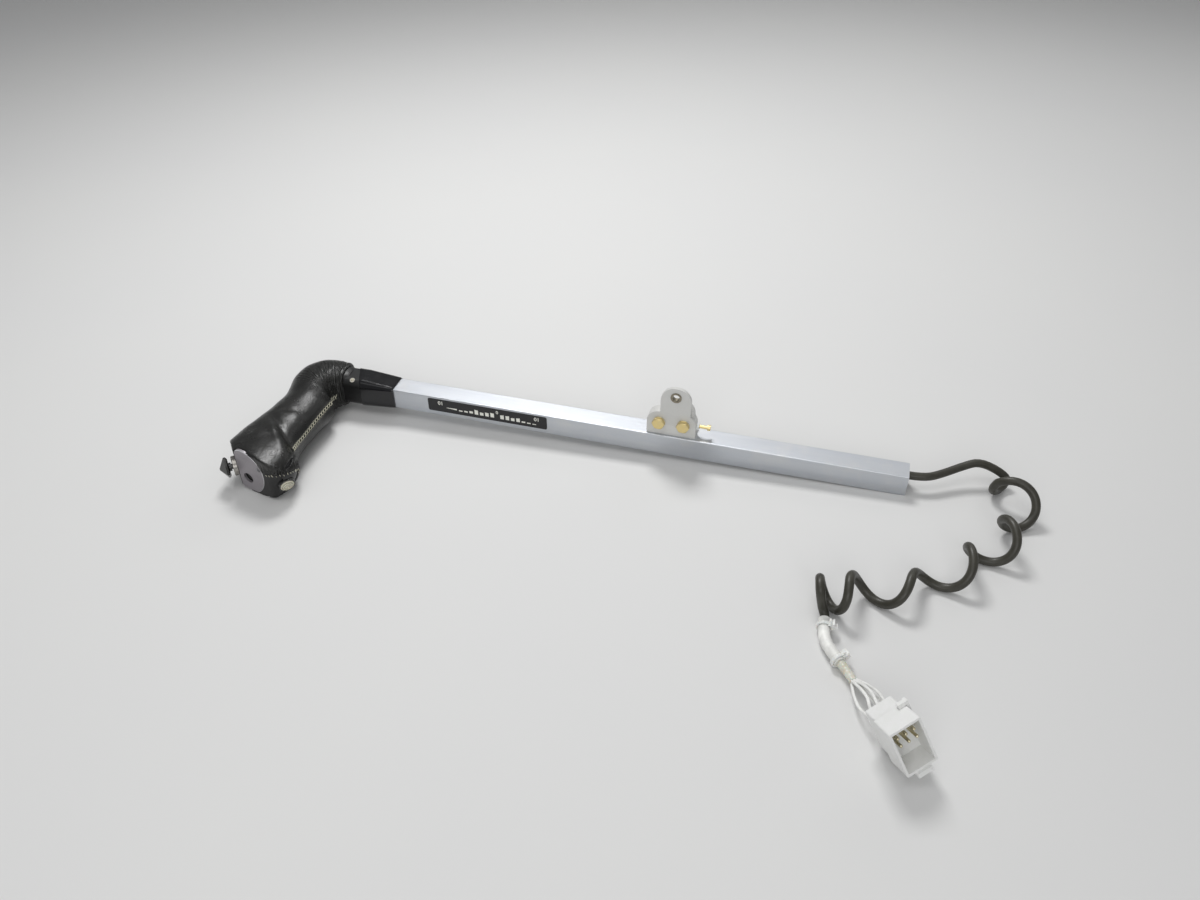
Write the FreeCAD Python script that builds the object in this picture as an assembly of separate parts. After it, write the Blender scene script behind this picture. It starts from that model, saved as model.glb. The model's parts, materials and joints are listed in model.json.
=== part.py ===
import FreeCAD, Part
import math
import os

from FreeCAD import Placement, Rotation, Vector

# Control yoke: a leather covered grip on a square aluminium tube, with its link bracket,
# trim scale, curly cord and plug. Everything is in millimetres.
#
# The yoke is drawn in the tube's frame: X runs along the tube and is 0 at its cord end,
# -X is the grip, -Y is the way the grip points, Z is across. At the end it is laid on its
# side on the floor, resting on the grip and on the tube's far edge.

# Tube
TUBE_SIDE = 19.05
TUBE_WALL = 1.65
TUBE_CORNER = 0.8
TUBE_VISIBLE = 443.0
TUBE_PAST_COLLAR = 14.0

# Collar over the tube, cut on a slant where it meets the grip's neck
COLLAR_LENGTH = 36.5
COLLAR_SLANT = 0.42
COLLAR_HALF = 13.6
COLLAR_CORNER = 7.0
COLLAR_LIP_HALF = 11.0
COLLAR_LIP_CORNER = 3.6
COLLAR_CHAMFER = 1.2
FIT = 0.15

# Neck and leather
NECK_STEP = 0.7
NECK_LENGTH = 12.5
HEM_SLANT = 0.10
LEATHER = 1.6
LEATHER_GAP = 0.3
GRIP_THICK = 42.6
GRIP_POINTS = 16

# Stations along the tube; the whole grip is placed from the leather's hem
COLLAR_X = -TUBE_VISIBLE
NECK_X = COLLAR_X - COLLAR_LENGTH
HEM_X = NECK_X - NECK_LENGTH
TUBE_END_X = NECK_X - TUBE_PAST_COLLAR
FAN_CORNER_X = HEM_X + 5.0
FAN_CORNER_Y = -36.0
CAP_EDGE_Y = -113.0
CAP_EDGE_Z = 8.0
CAP_EDGE_X = HEM_X - 5.0

# Grip screws that hold the two core halves together
CORE_SCREW_RADIUS = 1.6
CORE_SCREW_HEAD = 2.9
CORE_SCREW_SUNK = 6.0
CORE_SCREW_PLACES = ((HEM_X - 28.0, -6.0), (HEM_X - 21.0, -52.0), (HEM_X - 32.0, -96.0))
NECK_SCREW_HEAD = 2.3
NECK_SCREW_SOCKET = 1.1
NECK_SCREW_SHANK = 1.5
NECK_SCREW_X = HEM_X + 9.7
NECK_SCREW_ANGLE = 22.0
NECK_SCREW_LENGTH = 7.0

# Facets of the head: distance from the tube's end, distance along the grip, and the
# angle of the facet's normal from -Y towards -X
PLATE_AT = (HEM_X - 18.0, -134.5, 0.0)
PLATE_ANGLE = 13.0
PLATE_THICK = 2.0
PLATE_TOP = 20.8
PLATE_BOTTOM = 20.2
PLATE_LEFT = 15.0
PLATE_RIGHT = 13.4
PLATE_BEVEL = 0.6
HAT_ANGLE = 49.0
HAT_FROM_PLATE = 7.6
HAT_LOW = -3.0
TALK_AT = (HEM_X + 12.4, -133.6, -5.8)
TALK_ANGLE = -50.0
TALK_DROOP = -16.0
BROW_RADIUS = 13.0
PLATE_SCREW_AT = (9.6, 6.8)
PLATE_SCREW_RADIUS = 2.1
PLATE_SCREW_SINK = 1.2

# Recessed push button in the plate
PRESS_AT = (-5.0, -6.8)
PRESS_HOLE = 4.75
PRESS_RADIUS = 4.3
PRESS_SUNK = 2.6
PRESS_CAP = 3.0
PRESS_TRAVEL = 1.5
PRESS_STEM = 1.5
PRESS_WALL = 0.8
PRESS_DEPTH = 13.0

# Talk button
TALK_RADIUS = 5.8
TALK_BEZEL_WALL = 1.0
TALK_BEZEL = TALK_RADIUS + TALK_BEZEL_WALL
TALK_BEZEL_HIGH = 1.0
TALK_DOME = 2.2
TALK_SIDE = 2.4
TALK_RINGS = 3
TALK_RING_DEEP = 0.3
TALK_TRAVEL = 1.2
TALK_WALL = 0.9
TALK_DEPTH = 12.0

# Trim hat: a four pointed knob on a stem in a gimbal
HAT_TIP = 10.8
HAT_VALLEY = 8.1
HAT_SKIRT = 2.6
HAT_PEAK = 4.8
HAT_CROWN = 1.0
HAT_RISE = 2.8
HAT_RING = 8.3
HAT_RING_HIGH = 3.4
HAT_RING_BORE = 4.6
HAT_STEM = 2.2
HAT_NECK = 3.6
HAT_PIVOT_DEEP = 3.4
HAT_TAIL = 3.0
GIMBAL_IN = 3.6
GIMBAL_OUT = 4.9
GIMBAL_HIGH = 2.4
TRUNNION = 0.6
RUNNING = 0.06
HAT_CUP = 5.4
HAT_CUP_WALL = 0.7
HAT_CUP_DEEP = 8.5

# Trim scale on the front of the tube
SCALE_LEFT = 33.0
SCALE_LENGTH = 110.0
SCALE_HEIGHT = 12.8
SCALE_UP = 1.3
SCALE_THICK = 0.3
SCALE_CORNER = 1.6

# Link bracket on top of the tube
BRACKET_MIDDLE = -192.5
BRACKET_WIDE = 41.0
LINK_THICK = 3.2
LINK_LOBE = 12.6
LINK_LOBE_UP = 34.6
LINK_HOLE_UP = 38.6
LINK_HOLE_SIDE = 3.0
LINK_FRONT = -6.9
BASE_THICK = 6.0
BASE_LOBE_UP = 20.0
BASE_LOBE_SIDE = 5.6
FOOT_THICK = 2.6
FOOT_BACK = 9.2
BUSH_BORE = 3.175
BUSH_WALL = 1.35
BUSH_FLANGE = 5.4
BUSH_FLANGE_THICK = 0.8
BOLT_RADIUS = 2.38
BOLT_EDGE = 10.3
BOLT_SPACING = BRACKET_WIDE - 2 * BOLT_EDGE
BOLT_UP = 12.2
BOLT_HEX = 9.53
BOLT_HEAD = 3.4
BOLT_END = 2.0
WASHER_RADIUS = 5.3
WASHER_THICK = 0.8
NUT_HIGH = 4.0
HOLE_CLEAR = 0.1
RIVET_RADIUS = 1.6
RIVET_HEAD = 2.3
RIVET_DOME = 1.0
RIVET_INSET = 8.0
STOP_RADIUS = 1.5
STOP_LENGTH = 9.0
STOP_SUNK = 8.0
STOP_HEAD = 2.5
STOP_HEAD_THICK = 2.4
STOP_UP = 9.2
STOP_NUT_HEX = 5.5
STOP_NUT_HIGH = 2.2

# Cord: its outside, its place in the tube's mouth and its clip
CORD_RADIUS = 3.3
CORD_UP = 4.3
CABLE_PAST_TUBE = 6.0
WAY_RADIUS = 4.6
WAY_FORK_RADIUS = 2.0
WAY_BEND = Vector(HEM_X - 21.0, -24, 0)
WAY_FORK = Vector(HEM_X - 19.0, -96, 0)
CLIP_WALL = 1.0
CLIP_LENGTH = 9.0
CLIP_INSET = 6.0
CURL_RADIUS = 15.0
SLEEVE_RADIUS = 4.4
SPLICE_RADIUS = 3.4
WIRE_RADIUS = 1.0
WIRE_IN = 8.0
WIRE_STRAIGHT = 3.5
TIE_WIDE = 2.6
TIE_THICK = 1.1
TIE_HEAD = 5.0
TIE_FIRST = 0.5
TIE_SECOND = 0.85

# Routes on the floor, from below the tube's cord end: along, back and up from the floor
LEAD_ROUTE = [(0, 0, 0), (13, 0, -0.3), (26, 8, 0.4), (41, 17.5, 3.4), (54, 22.5, 7.2), (66, 20.5, 10.4)]
CURL_ROUTE = [(64, 22), (77.5, 4), (84.5, -22), (79, -47), (62, -70), (43.5, -93), (19, -114),
              (-12, -131), (-38, -142), (-60, -150)]
SLEEVE_ROUTE = [(-49.5, -161), (-49.8, -173), (-45.5, -184.5), (-36.5, -195.5)]
SPLICE_ROUTE = [(-36.5, -195.5), (-31.5, -201.6), (-27, -208.5)]
WIRE_MIDDLES = [(-19, -222, 14), (-17, -219, 16), (-14, -216, 13), (-25, -228, 6), (-16.5, -220, 10), (-11.5, -218, 8)]

# Plug: a shroud round twelve places for pins, some of them filled
PLUG_AT = (1.2, -244.9)
PLUG_MOUTH = Vector(0.488, -0.774, 0.404)
PLUG_TOP = Vector(-0.473, 0.155, 0.867)
PLUG_WIDE = 21.6
PLUG_TALL = 32.6
PLUG_SHROUD = 17.0
PLUG_BACK = 13.0
PLUG_BACK_STEP = 1.4
PLUG_WALL = 1.6
PLUG_DEEP = 15.0
PLUG_LATCH = (9.0, 10.0, 3.0)
PLUG_EAR = (4.0, 2.6, 5.0)
PIN_PITCH = 5.6
PIN_RADIUS = 1.05
PIN_LENGTH = 11.5
PIN_TAIL = 3.0
PIN_PLACES = ((-1, 1.5), (0, 1.5), (1, 1.5), (-1, 0.5), (0, 0.5), (1, 0.5))

HALF = TUBE_SIDE / 2
GRIP_HALF = GRIP_THICK / 2
FAR = 200.0
UP = Vector(0, 0, 1)
ALONG = Vector(1, 0, 0)
BACK = Vector(0, 1, 0)


def drum(radius, start, end):
    """Cylinder along the local Z axis between two heights."""
    return Part.makeCylinder(radius, end - start, Vector(0, 0, start))


def pipe(outer, inner, start, end):
    return drum(outer, start, end).cut(drum(inner, start - 1, end + 1))


def rod(radius, start, end):
    """Cylinder from one point to another."""
    return Part.makeCylinder(radius, (end - start).Length, start, end - start)


def block(low, high):
    return Part.makeBox(high[0] - low[0], high[1] - low[1], high[2] - low[2], Vector(*low))


def fused(shapes):
    whole = shapes[0]
    for shape in shapes[1:]:
        whole = whole.fuse(shape)
    return whole.removeSplitter()


def cut_all(shape, tools):
    for tool in tools:
        shape = shape.cut(tool)
    return shape


def placed(shape, placement):
    """Copy of a shape moved from a local frame to where that frame is."""
    moved = shape.copy()
    moved.Placement = placement.multiply(moved.Placement)
    return moved


def round_square(half, corner, x):
    """Wire of a square with round corners, across the tube at x."""
    flat = half - corner
    bulge = flat + corner * math.sqrt(0.5)
    edges = []
    for turn in range(4):
        spin = Rotation(ALONG, 90 * turn)
        points = [Vector(x, half, -flat), Vector(x, half, flat), Vector(x, bulge, bulge), Vector(x, flat, half)]
        low, high, middle, end = [spin.multVec(point) for point in points]
        edges.append(Part.makeLine(low, high))
        edges.append(Part.Arc(high, middle, end).toShape())
    return Part.Wire(edges)


def square_bar(half, corner, start, end):
    face = Part.Face(round_square(half, corner, start))
    return face.extrude(Vector(end - start, 0, 0))


def slant_cutter(x, slant, side):
    """Large block on one side (+1 or -1) of the slanted plane through x on the tube's axis."""
    normal = Vector(1, slant, 0).normalize()
    frame = Placement(Vector(x, 0, 0), Rotation(normal, UP, UP.cross(normal), "XYZ"))
    start, end = (0, FAR) if side > 0 else (-FAR, 0)
    return placed(block((start, -FAR, -FAR), (end, FAR, FAR)), frame)


def facet(place, angle, droop=0.0):
    """Frame on a facet of the head: its Z points out, its Y up and its X to the right."""
    turn = math.radians(angle)
    out = Vector(-math.sin(turn), -math.cos(turn), 0) * math.cos(math.radians(droop))
    out += UP * math.sin(math.radians(droop))
    side = Vector(math.cos(turn), -math.sin(turn), 0)
    return Placement(Vector(*place), Rotation(side, UP, out, "ZXY"))


def on_facet(frame, x, y, z):
    return frame.multVec(Vector(x, y, z))


PLATE_FRAME = facet(PLATE_AT, PLATE_ANGLE)
PLATE_EDGE = on_facet(PLATE_FRAME, -PLATE_LEFT, 0, 0)
HAT_SIDE = facet((0, 0, 0), HAT_ANGLE).Rotation.multVec(ALONG)
HAT_CENTRE = PLATE_EDGE - HAT_SIDE * HAT_FROM_PLATE
HAT_FRAME = facet((HAT_CENTRE.x, HAT_CENTRE.y, HAT_LOW), HAT_ANGLE)
TALK_FRAME = facet(TALK_AT, TALK_ANGLE, TALK_DROOP)
PRESS_FRAME = Placement(on_facet(PLATE_FRAME, *PRESS_AT, 0), PLATE_FRAME.Rotation)


def above(frame, height):
    """Large block over a facet, from a height above it outwards."""
    return placed(block((-FAR, -FAR, height), (FAR, FAR, FAR)), frame)


def oval(centre, side, inner, outer, half_up, power, grow):
    """Section of the grip: points round an oval to rounded square from `inner` to `outer`."""
    middle = (inner + outer) / 2
    reach = (outer - inner) / 2 + grow
    rise = half_up + grow
    points = []
    for step in range(GRIP_POINTS + 1):
        angle = 2 * math.pi * (step % GRIP_POINTS) / GRIP_POINTS
        across = math.copysign(abs(math.cos(angle)) ** (2 / power), math.cos(angle))
        up = math.copysign(abs(math.sin(angle)) ** (2 / power), math.sin(angle))
        points.append(centre + side * (middle + reach * across) + UP * (rise * up))
    return points


def skinned(rows):
    """Solid with one smooth face through closed rows of points, and a flat face at each end."""
    surface = Part.BSplineSurface()
    surface.interpolate(rows)
    side = surface.toShape()
    low, high, _, _ = surface.bounds()
    ends = [Part.Face(Part.Wire(surface.uIso(value).toShape())) for value in (low, high)]
    shell = Part.makeShell([side] + ends)
    shell.sewShape()
    solid = Part.Solid(shell)
    if solid.Volume < 0:
        solid.reverse()
    return solid


def grip_body(grow):
    """Outside of the leather, grown by `grow`: a fan of sections round the neck's inner
    corner, then sections down the grip to past the head."""
    corner = Vector(FAN_CORNER_X, FAN_CORNER_Y, 0)
    neck_in = -FAN_CORNER_Y - COLLAR_HALF
    neck_out = -FAN_CORNER_Y + COLLAR_HALF
    fan = [(-2, neck_in, neck_out, COLLAR_HALF, 3.0), (14, neck_in - 3, neck_out + 6.5, 17.8, 2.6),
           (32, 15.0, 61.0, 20.2, 2.4), (50, 9.5, 60.0, GRIP_HALF, 2.3), (72, 3.5, 53.0, 20.4, 2.2),
           (90, 1.0, 46.5, 19.0, 2.2)]
    rows = []
    for angle, inner, outer, half_up, power in fan:
        turn = math.radians(angle)
        side = Vector(-math.sin(turn), math.cos(turn), 0)
        rows.append(oval(corner, side, inner, outer, half_up, power, grow))
    down = [(-52, 1.0, 46.5, 18.2, 2.2), (-70, 2.0, 49.0, 18.4, 2.2), (-88, 2.5, 52.0, 19.4, 2.3),
            (-102, -0.5, 54.5, 20.6, 2.3), (-114, -8.0, 55.5, GRIP_HALF, 2.4), (-128, -12.0, 55.0, GRIP_HALF, 2.4),
            (-144, -11.0, 52.0, 21.0, 2.4), (-158, -8.0, 48.0, 20.6, 2.4)]
    for y, inner, outer, half_up, power in down:
        rows.append(oval(Vector(FAN_CORNER_X, y, 0), Vector(-1, 0, 0), inner, outer, half_up, power, grow))
    return skinned(rows)


def brow():
    """Wedge of the head beyond the round that joins the plate's facet to the talk button's."""
    out = PLATE_FRAME.Rotation.multVec(UP)
    side = PLATE_FRAME.Rotation.multVec(ALONG)
    other = facet(TALK_AT, TALK_ANGLE)
    far_out = other.Rotation.multVec(UP)
    share = (other.Base - PLATE_FRAME.Base).dot(far_out) / side.dot(far_out)
    ridge = PLATE_FRAME.Base + side * share
    turn = out.getAngle(far_out)
    reach = BROW_RADIUS * math.tan(turn / 2)
    first = ridge - side * reach
    centre = first - out * BROW_RADIUS
    middle = centre + (out + far_out).normalize() * BROW_RADIUS
    last = centre + far_out * BROW_RADIUS
    beyond = (out + far_out).normalize() * FAR
    edges = [Part.Arc(first, middle, last).toShape(), Part.makeLine(last, last + beyond),
             Part.makeLine(last + beyond, first + beyond), Part.makeLine(first + beyond, first)]
    face = Part.Face(Part.Wire(edges))
    face.translate(UP * -FAR)
    return face.extrude(UP * 2 * FAR)


def head_faces(shape, plate_room):
    """Cut the facets of the head, with room for the plate's thickness under its outline."""
    room = Part.Face(plate_outline(-plate_room)).extrude(Vector(0, 0, FAR))
    room.translate(Vector(0, 0, -PLATE_THICK - plate_room))
    cuts = [above(PLATE_FRAME, 0), above(HAT_FRAME, 0), above(TALK_FRAME, 0), brow(), placed(room, PLATE_FRAME)]
    return cut_all(shape, cuts)


def build_leather():
    skin = grip_body(0).cut(grip_body(-LEATHER))
    skin = skin.cut(slant_cutter(HEM_X, HEM_SLANT, 1))
    skin = head_faces(skin, LEATHER_GAP)
    cap_box = block((CAP_EDGE_X, -FAR, -FAR), (0, CAP_EDGE_Y, CAP_EDGE_Z))
    gap_box = block((CAP_EDGE_X - LEATHER_GAP, -FAR, -FAR), (0, CAP_EDGE_Y + LEATHER_GAP, CAP_EDGE_Z + LEATHER_GAP))
    skin = skin.cut(placed(drum(TALK_BEZEL + LEATHER_GAP, -TALK_DEPTH, HAT_RING), TALK_FRAME))
    skin = skin.cut(placed(drum(HAT_RING + LEATHER_GAP, -HAT_CUP_DEEP, HAT_RING), HAT_FRAME))
    cap = max(skin.common(cap_box).Solids, key=lambda solid: solid.Volume)
    return skin.cut(gap_box), cap


def switch_pockets():
    return [placed(drum(HAT_CUP + HAT_CUP_WALL + FIT, -HAT_CUP_DEEP - FIT, 5), HAT_FRAME),
            placed(drum(PRESS_RADIUS + PRESS_WALL + 2 * FIT, -PRESS_DEPTH - FIT, 5), PRESS_FRAME),
            placed(drum(TALK_RADIUS + TALK_WALL + 2 * FIT, -TALK_DEPTH - FIT, 5), TALK_FRAME)]


def wire_ways():
    """Round passages from the tube's end to the back of each switch."""
    start = Vector(TUBE_END_X - CABLE_PAST_TUBE - 1, 0, CORD_UP)
    ways = [rod(WAY_RADIUS, start, Vector(TUBE_END_X + 1, 0, CORD_UP)), rod(WAY_RADIUS, start, WAY_BEND),
            rod(WAY_RADIUS, WAY_BEND, WAY_FORK)]
    for frame, deep in ((HAT_FRAME, HAT_CUP_DEEP), (PRESS_FRAME, PRESS_DEPTH), (TALK_FRAME, TALK_DEPTH)):
        ways.append(rod(WAY_FORK_RADIUS, WAY_FORK, on_facet(frame, 0, 0, -deep)))
    return ways


def neck_screw_frame():
    """Neck screw on the round of the neck that faces up and forward."""
    turn = math.radians(NECK_SCREW_ANGLE)
    out = Vector(0, -math.sin(turn), math.cos(turn))
    flat = COLLAR_HALF - COLLAR_CORNER
    round_at = Vector(NECK_SCREW_X, -flat, flat)
    return Placement(round_at + out * (COLLAR_CORNER - NECK_STEP - 0.3), Rotation(UP, out))


def core_screws():
    screws = []
    for x, y in CORE_SCREW_PLACES:
        top = Placement(Vector(x, y, -GRIP_HALF), Rotation())
        head = drum(CORE_SCREW_HEAD, CORE_SCREW_SUNK, CORE_SCREW_SUNK + 2.4)
        shank = drum(CORE_SCREW_RADIUS, CORE_SCREW_SUNK + 2.4, GRIP_THICK - 8)
        socket = Part.makePolygon([Vector(1.4 * math.cos(math.radians(60 * k)), 1.4 * math.sin(math.radians(60 * k)),
                                          CORE_SCREW_SUNK - 1) for k in range(7)])
        recess = Part.Face(socket).extrude(Vector(0, 0, 2.4))
        screws.append(placed(head.fuse(shank).cut(recess), top))
    return screws


def core_screw_holes():
    holes = []
    for x, y in CORE_SCREW_PLACES:
        top = Placement(Vector(x, y, -GRIP_HALF), Rotation())
        well = drum(CORE_SCREW_HEAD + FIT, -5, CORE_SCREW_SUNK + 2.4)
        bore = drum(CORE_SCREW_RADIUS + 0.05, CORE_SCREW_SUNK, GRIP_THICK - 8)
        holes.append(placed(well.fuse(bore), top))
    return holes


def build_core():
    body = grip_body(-LEATHER - LEATHER_GAP / 3)
    body = body.cut(slant_cutter(HEM_X + 4, HEM_SLANT, 1))
    neck = square_bar(COLLAR_HALF - NECK_STEP, COLLAR_CORNER - NECK_STEP, HEM_X - COLLAR_HALF, COLLAR_X)
    neck = neck.cut(slant_cutter(NECK_X, COLLAR_SLANT, 1)).cut(slant_cutter(HEM_X + LEATHER_GAP, HEM_SLANT, -1))
    body = head_faces(body.fuse(neck), 0.0)
    socket = square_bar(HALF + FIT, TUBE_CORNER + FIT, TUBE_END_X, FAR)
    screw_well = placed(drum(NECK_SCREW_HEAD + FIT, -1.6, 5).fuse(drum(NECK_SCREW_SHANK + 0.05, -NECK_SCREW_LENGTH, 0)),
                        neck_screw_frame())
    body = cut_all(body, [socket, screw_well] + switch_pockets() + wire_ways() + core_screw_holes())
    screw_at = Placement(on_facet(PLATE_FRAME, *PLATE_SCREW_AT, 0), PLATE_FRAME.Rotation)
    body = body.cut(placed(drum(PLATE_SCREW_RADIUS / 2 + 0.05, -PLATE_THICK - 7, 1), screw_at))
    start = TUBE_END_X - FAR
    upper = body.common(block((start, -FAR, 0), (FAR, FAR, FAR)))
    lower = body.common(block((start, -FAR, -FAR), (FAR, FAR, 0)))
    return upper, lower


def build_collar():
    outer = Part.makeLoft([round_square(COLLAR_HALF, COLLAR_CORNER, NECK_X - FAR / 20),
                           round_square(COLLAR_HALF, COLLAR_CORNER, NECK_X + 6),
                           round_square(COLLAR_LIP_HALF, COLLAR_LIP_CORNER, COLLAR_X - COLLAR_CHAMFER),
                           round_square(COLLAR_LIP_HALF - 0.5, COLLAR_LIP_CORNER - 0.5, COLLAR_X)], True, True)
    outer = outer.cut(slant_cutter(NECK_X, COLLAR_SLANT, -1))
    return outer.cut(square_bar(HALF + FIT, TUBE_CORNER + FIT, NECK_X - FAR, FAR))


def build_tube():
    bar = square_bar(HALF, TUBE_CORNER, TUBE_END_X, 0)
    bar = bar.cut(square_bar(HALF - TUBE_WALL, TUBE_CORNER / 2, TUBE_END_X - 1, 1))
    holes = [placed(drum(NECK_SCREW_SHANK + 0.05, -NECK_SCREW_LENGTH - 1, 2), neck_screw_frame())]
    for place in rivet_places():
        holes.append(rod(RIVET_RADIUS + FIT / 3, place - UP * 4, place + UP * 4))
    return cut_all(bar, holes)


def build_neck_screw():
    screw = drum(NECK_SCREW_HEAD, -1.6, 0.4).fuse(drum(NECK_SCREW_SHANK, -NECK_SCREW_LENGTH, -1.6))
    return placed(screw.cut(drum(NECK_SCREW_SOCKET, -1.0, 1)), neck_screw_frame())


def plate_outline(shrink):
    """Outline of the head's top plate: a straight edge by the hat, a broad round at the top,
    and a long curve down the other side."""
    left, right = PLATE_LEFT - shrink, PLATE_RIGHT - shrink
    top, bottom = PLATE_TOP - shrink, PLATE_BOTTOM - shrink
    a = Vector(-left, 2.5 - bottom, 0)
    b = Vector(-left, top - 8, 0)
    c = Vector(7 - left, top, 0)
    d = Vector(right, 0.1 * top, 0)
    e = Vector(0.12 * right, -bottom, 0)
    f = Vector(2.5 - left, -bottom, 0)
    edges = [Part.makeLine(a, b),
             Part.Arc(b, Vector(2.2 - left, top - 2.4, 0), c).toShape(),
             Part.Arc(c, Vector(0.6 * right, 0.72 * top, 0), d).toShape(),
             Part.Arc(d, Vector(0.76 * right, -0.55 * bottom, 0), e).toShape(),
             Part.makeLine(e, f),
             Part.Arc(f, Vector(0.73 - left, 0.73 - bottom, 0), a).toShape()]
    return Part.Wire(edges)


def screw_head(grow):
    """Sunk head of the plate's screw, or the hollow for it."""
    return Part.makeCone(PLATE_SCREW_RADIUS / 2 + grow, PLATE_SCREW_RADIUS + grow, PLATE_SCREW_SINK,
                         Vector(0, 0, -PLATE_SCREW_SINK))


def build_plate():
    body = Part.Face(plate_outline(0)).extrude(Vector(0, 0, PLATE_THICK - PLATE_BEVEL))
    body.translate(Vector(0, 0, -PLATE_THICK))
    rims = [plate_outline(0), plate_outline(PLATE_BEVEL)]
    rims[0].translate(Vector(0, 0, -PLATE_BEVEL))
    body = body.fuse(Part.makeLoft(rims, True, True)).removeSplitter()
    press = Placement(Vector(PRESS_AT[0], PRESS_AT[1], 0), Rotation())
    screw = Placement(Vector(PLATE_SCREW_AT[0], PLATE_SCREW_AT[1], 0), Rotation())
    body = body.cut(placed(drum(PRESS_HOLE, -5, 5), press))
    body = body.cut(placed(screw_head(0.05), screw)).cut(placed(drum(PLATE_SCREW_RADIUS / 2 + 0.05, -5, 0), screw))
    return placed(body, PLATE_FRAME)


def build_plate_screw():
    body = screw_head(0).fuse(drum(PLATE_SCREW_RADIUS / 2, -8, -PLATE_SCREW_SINK))
    body = body.cut(block((-3, -0.25, -0.6), (3, 0.25, 1)))
    screw = Placement(on_facet(PLATE_FRAME, *PLATE_SCREW_AT, 0), PLATE_FRAME.Rotation)
    return placed(body, screw)


def build_press_switch():
    seat = -PRESS_SUNK - PRESS_CAP - PRESS_TRAVEL - 0.3
    cup = drum(PRESS_RADIUS + PRESS_WALL, -PRESS_DEPTH, -PLATE_THICK)
    cup = cup.cut(drum(PRESS_RADIUS + FIT, seat, 1))
    cup = cup.cut(drum(PRESS_STEM + FIT, seat - PRESS_TRAVEL - 3.4, 1))
    button = drum(PRESS_RADIUS, -PRESS_SUNK - PRESS_CAP, -PRESS_SUNK)
    button = button.makeFillet(0.6, [edge for edge in button.Edges if edge.BoundBox.ZMin > -PRESS_SUNK - 0.1])
    button = button.fuse(drum(PRESS_STEM, seat - 3, -PRESS_SUNK - 1))
    return placed(cup, PRESS_FRAME), placed(button, PRESS_FRAME)


def build_talk_switch():
    seat = -TALK_TRAVEL - TALK_SIDE
    cup = drum(TALK_RADIUS + TALK_WALL, -TALK_DEPTH, 0)
    cup = cup.cut(drum(TALK_RADIUS + FIT, seat - 0.3, 1)).cut(drum(PRESS_STEM + FIT, seat - 5, 1))
    bezel = pipe(TALK_BEZEL, TALK_RADIUS + FIT, 0, TALK_BEZEL_HIGH)
    bezel = bezel.makeFillet(0.4, [edge for edge in bezel.Edges if edge.BoundBox.ZMin > TALK_BEZEL_HIGH - 0.1
                                   and edge.BoundBox.XMax > TALK_BEZEL - 0.2])
    radius = (TALK_RADIUS ** 2 + TALK_DOME ** 2) / (2 * TALK_DOME)
    dome = Part.makeSphere(radius, Vector(0, 0, TALK_BEZEL_HIGH + TALK_DOME - radius))
    body = drum(TALK_RADIUS, 1 - TALK_SIDE, TALK_BEZEL_HIGH + TALK_DOME).common(dome)
    for ring in range(TALK_RINGS):
        groove = TALK_RADIUS * (0.28 + 0.24 * ring)
        height = TALK_BEZEL_HIGH + TALK_DOME - radius + math.sqrt(radius ** 2 - groove ** 2)
        body = body.cut(Part.makeTorus(groove, TALK_RING_DEEP, Vector(0, 0, height)))
    body = body.fuse(drum(PRESS_STEM, seat - 2.6, 0))
    return placed(cup, TALK_FRAME), placed(bezel, TALK_FRAME), placed(body, TALK_FRAME)


def hat_star(tip, valley, height):
    points = []
    for step in range(9):
        reach = tip if step % 2 == 0 else valley
        turn = math.radians(45 * step)
        points.append(Vector(reach * math.cos(turn), reach * math.sin(turn), height))
    return Part.makePolygon(points)


def build_hat():
    """Ring, cup, gimbal and knob; the pivot is where the two tilt axes cross."""
    ring = pipe(HAT_RING, HAT_RING_BORE, 0, HAT_RING_HIGH)
    ring = ring.makeFillet(0.7, [edge for edge in ring.Edges if edge.BoundBox.ZMin > HAT_RING_HIGH - 0.1
                                 and edge.BoundBox.XMax > HAT_RING - 0.2])
    cup = drum(HAT_CUP + HAT_CUP_WALL, -HAT_CUP_DEEP, 0).cut(drum(HAT_CUP, 1 - HAT_CUP_DEEP, 1))
    pivot = Vector(0, 0, -HAT_PIVOT_DEEP)
    reach = HAT_CUP + HAT_CUP_WALL
    cup = cup.cut(rod(TRUNNION + RUNNING, pivot - ALONG * reach, pivot + ALONG * reach))
    half = GIMBAL_HIGH / 2
    gimbal = pipe(GIMBAL_OUT, GIMBAL_IN, -HAT_PIVOT_DEEP - half, -HAT_PIVOT_DEEP + half)
    gimbal = gimbal.cut(rod(TRUNNION + RUNNING, pivot - BACK * reach, pivot + BACK * reach))
    for way in (-1, 1):
        pin = rod(TRUNNION, pivot + ALONG * (way * (GIMBAL_OUT - 0.5)), pivot + ALONG * (way * (reach - 0.3)))
        gimbal = gimbal.fuse(pin)
    skirt = HAT_RING_HIGH + HAT_RISE
    low = hat_star(HAT_TIP * 0.8, HAT_VALLEY * 0.8, skirt)
    wide = hat_star(HAT_TIP, HAT_VALLEY, skirt + HAT_SKIRT * 0.4)
    rim = hat_star(HAT_TIP, HAT_VALLEY, skirt + HAT_SKIRT)
    peak = hat_star(HAT_CROWN, HAT_CROWN * 0.8, skirt + HAT_SKIRT + HAT_PEAK)
    knob = fused([Part.makeLoft([low, wide], True, True), Part.makeLoft([wide, rim], True, True),
                  Part.makeLoft([rim, peak], True, True)])
    stem = fused([drum(HAT_STEM, -HAT_PIVOT_DEEP - HAT_TAIL, HAT_RING_HIGH + 1), drum(HAT_NECK, HAT_RING_HIGH + 1, skirt),
                  rod(TRUNNION, pivot - BACK * (GIMBAL_OUT - 0.2), pivot + BACK * (GIMBAL_OUT - 0.2))])
    return [placed(shape, HAT_FRAME) for shape in (ring, cup, gimbal, knob.fuse(stem))]


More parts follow.
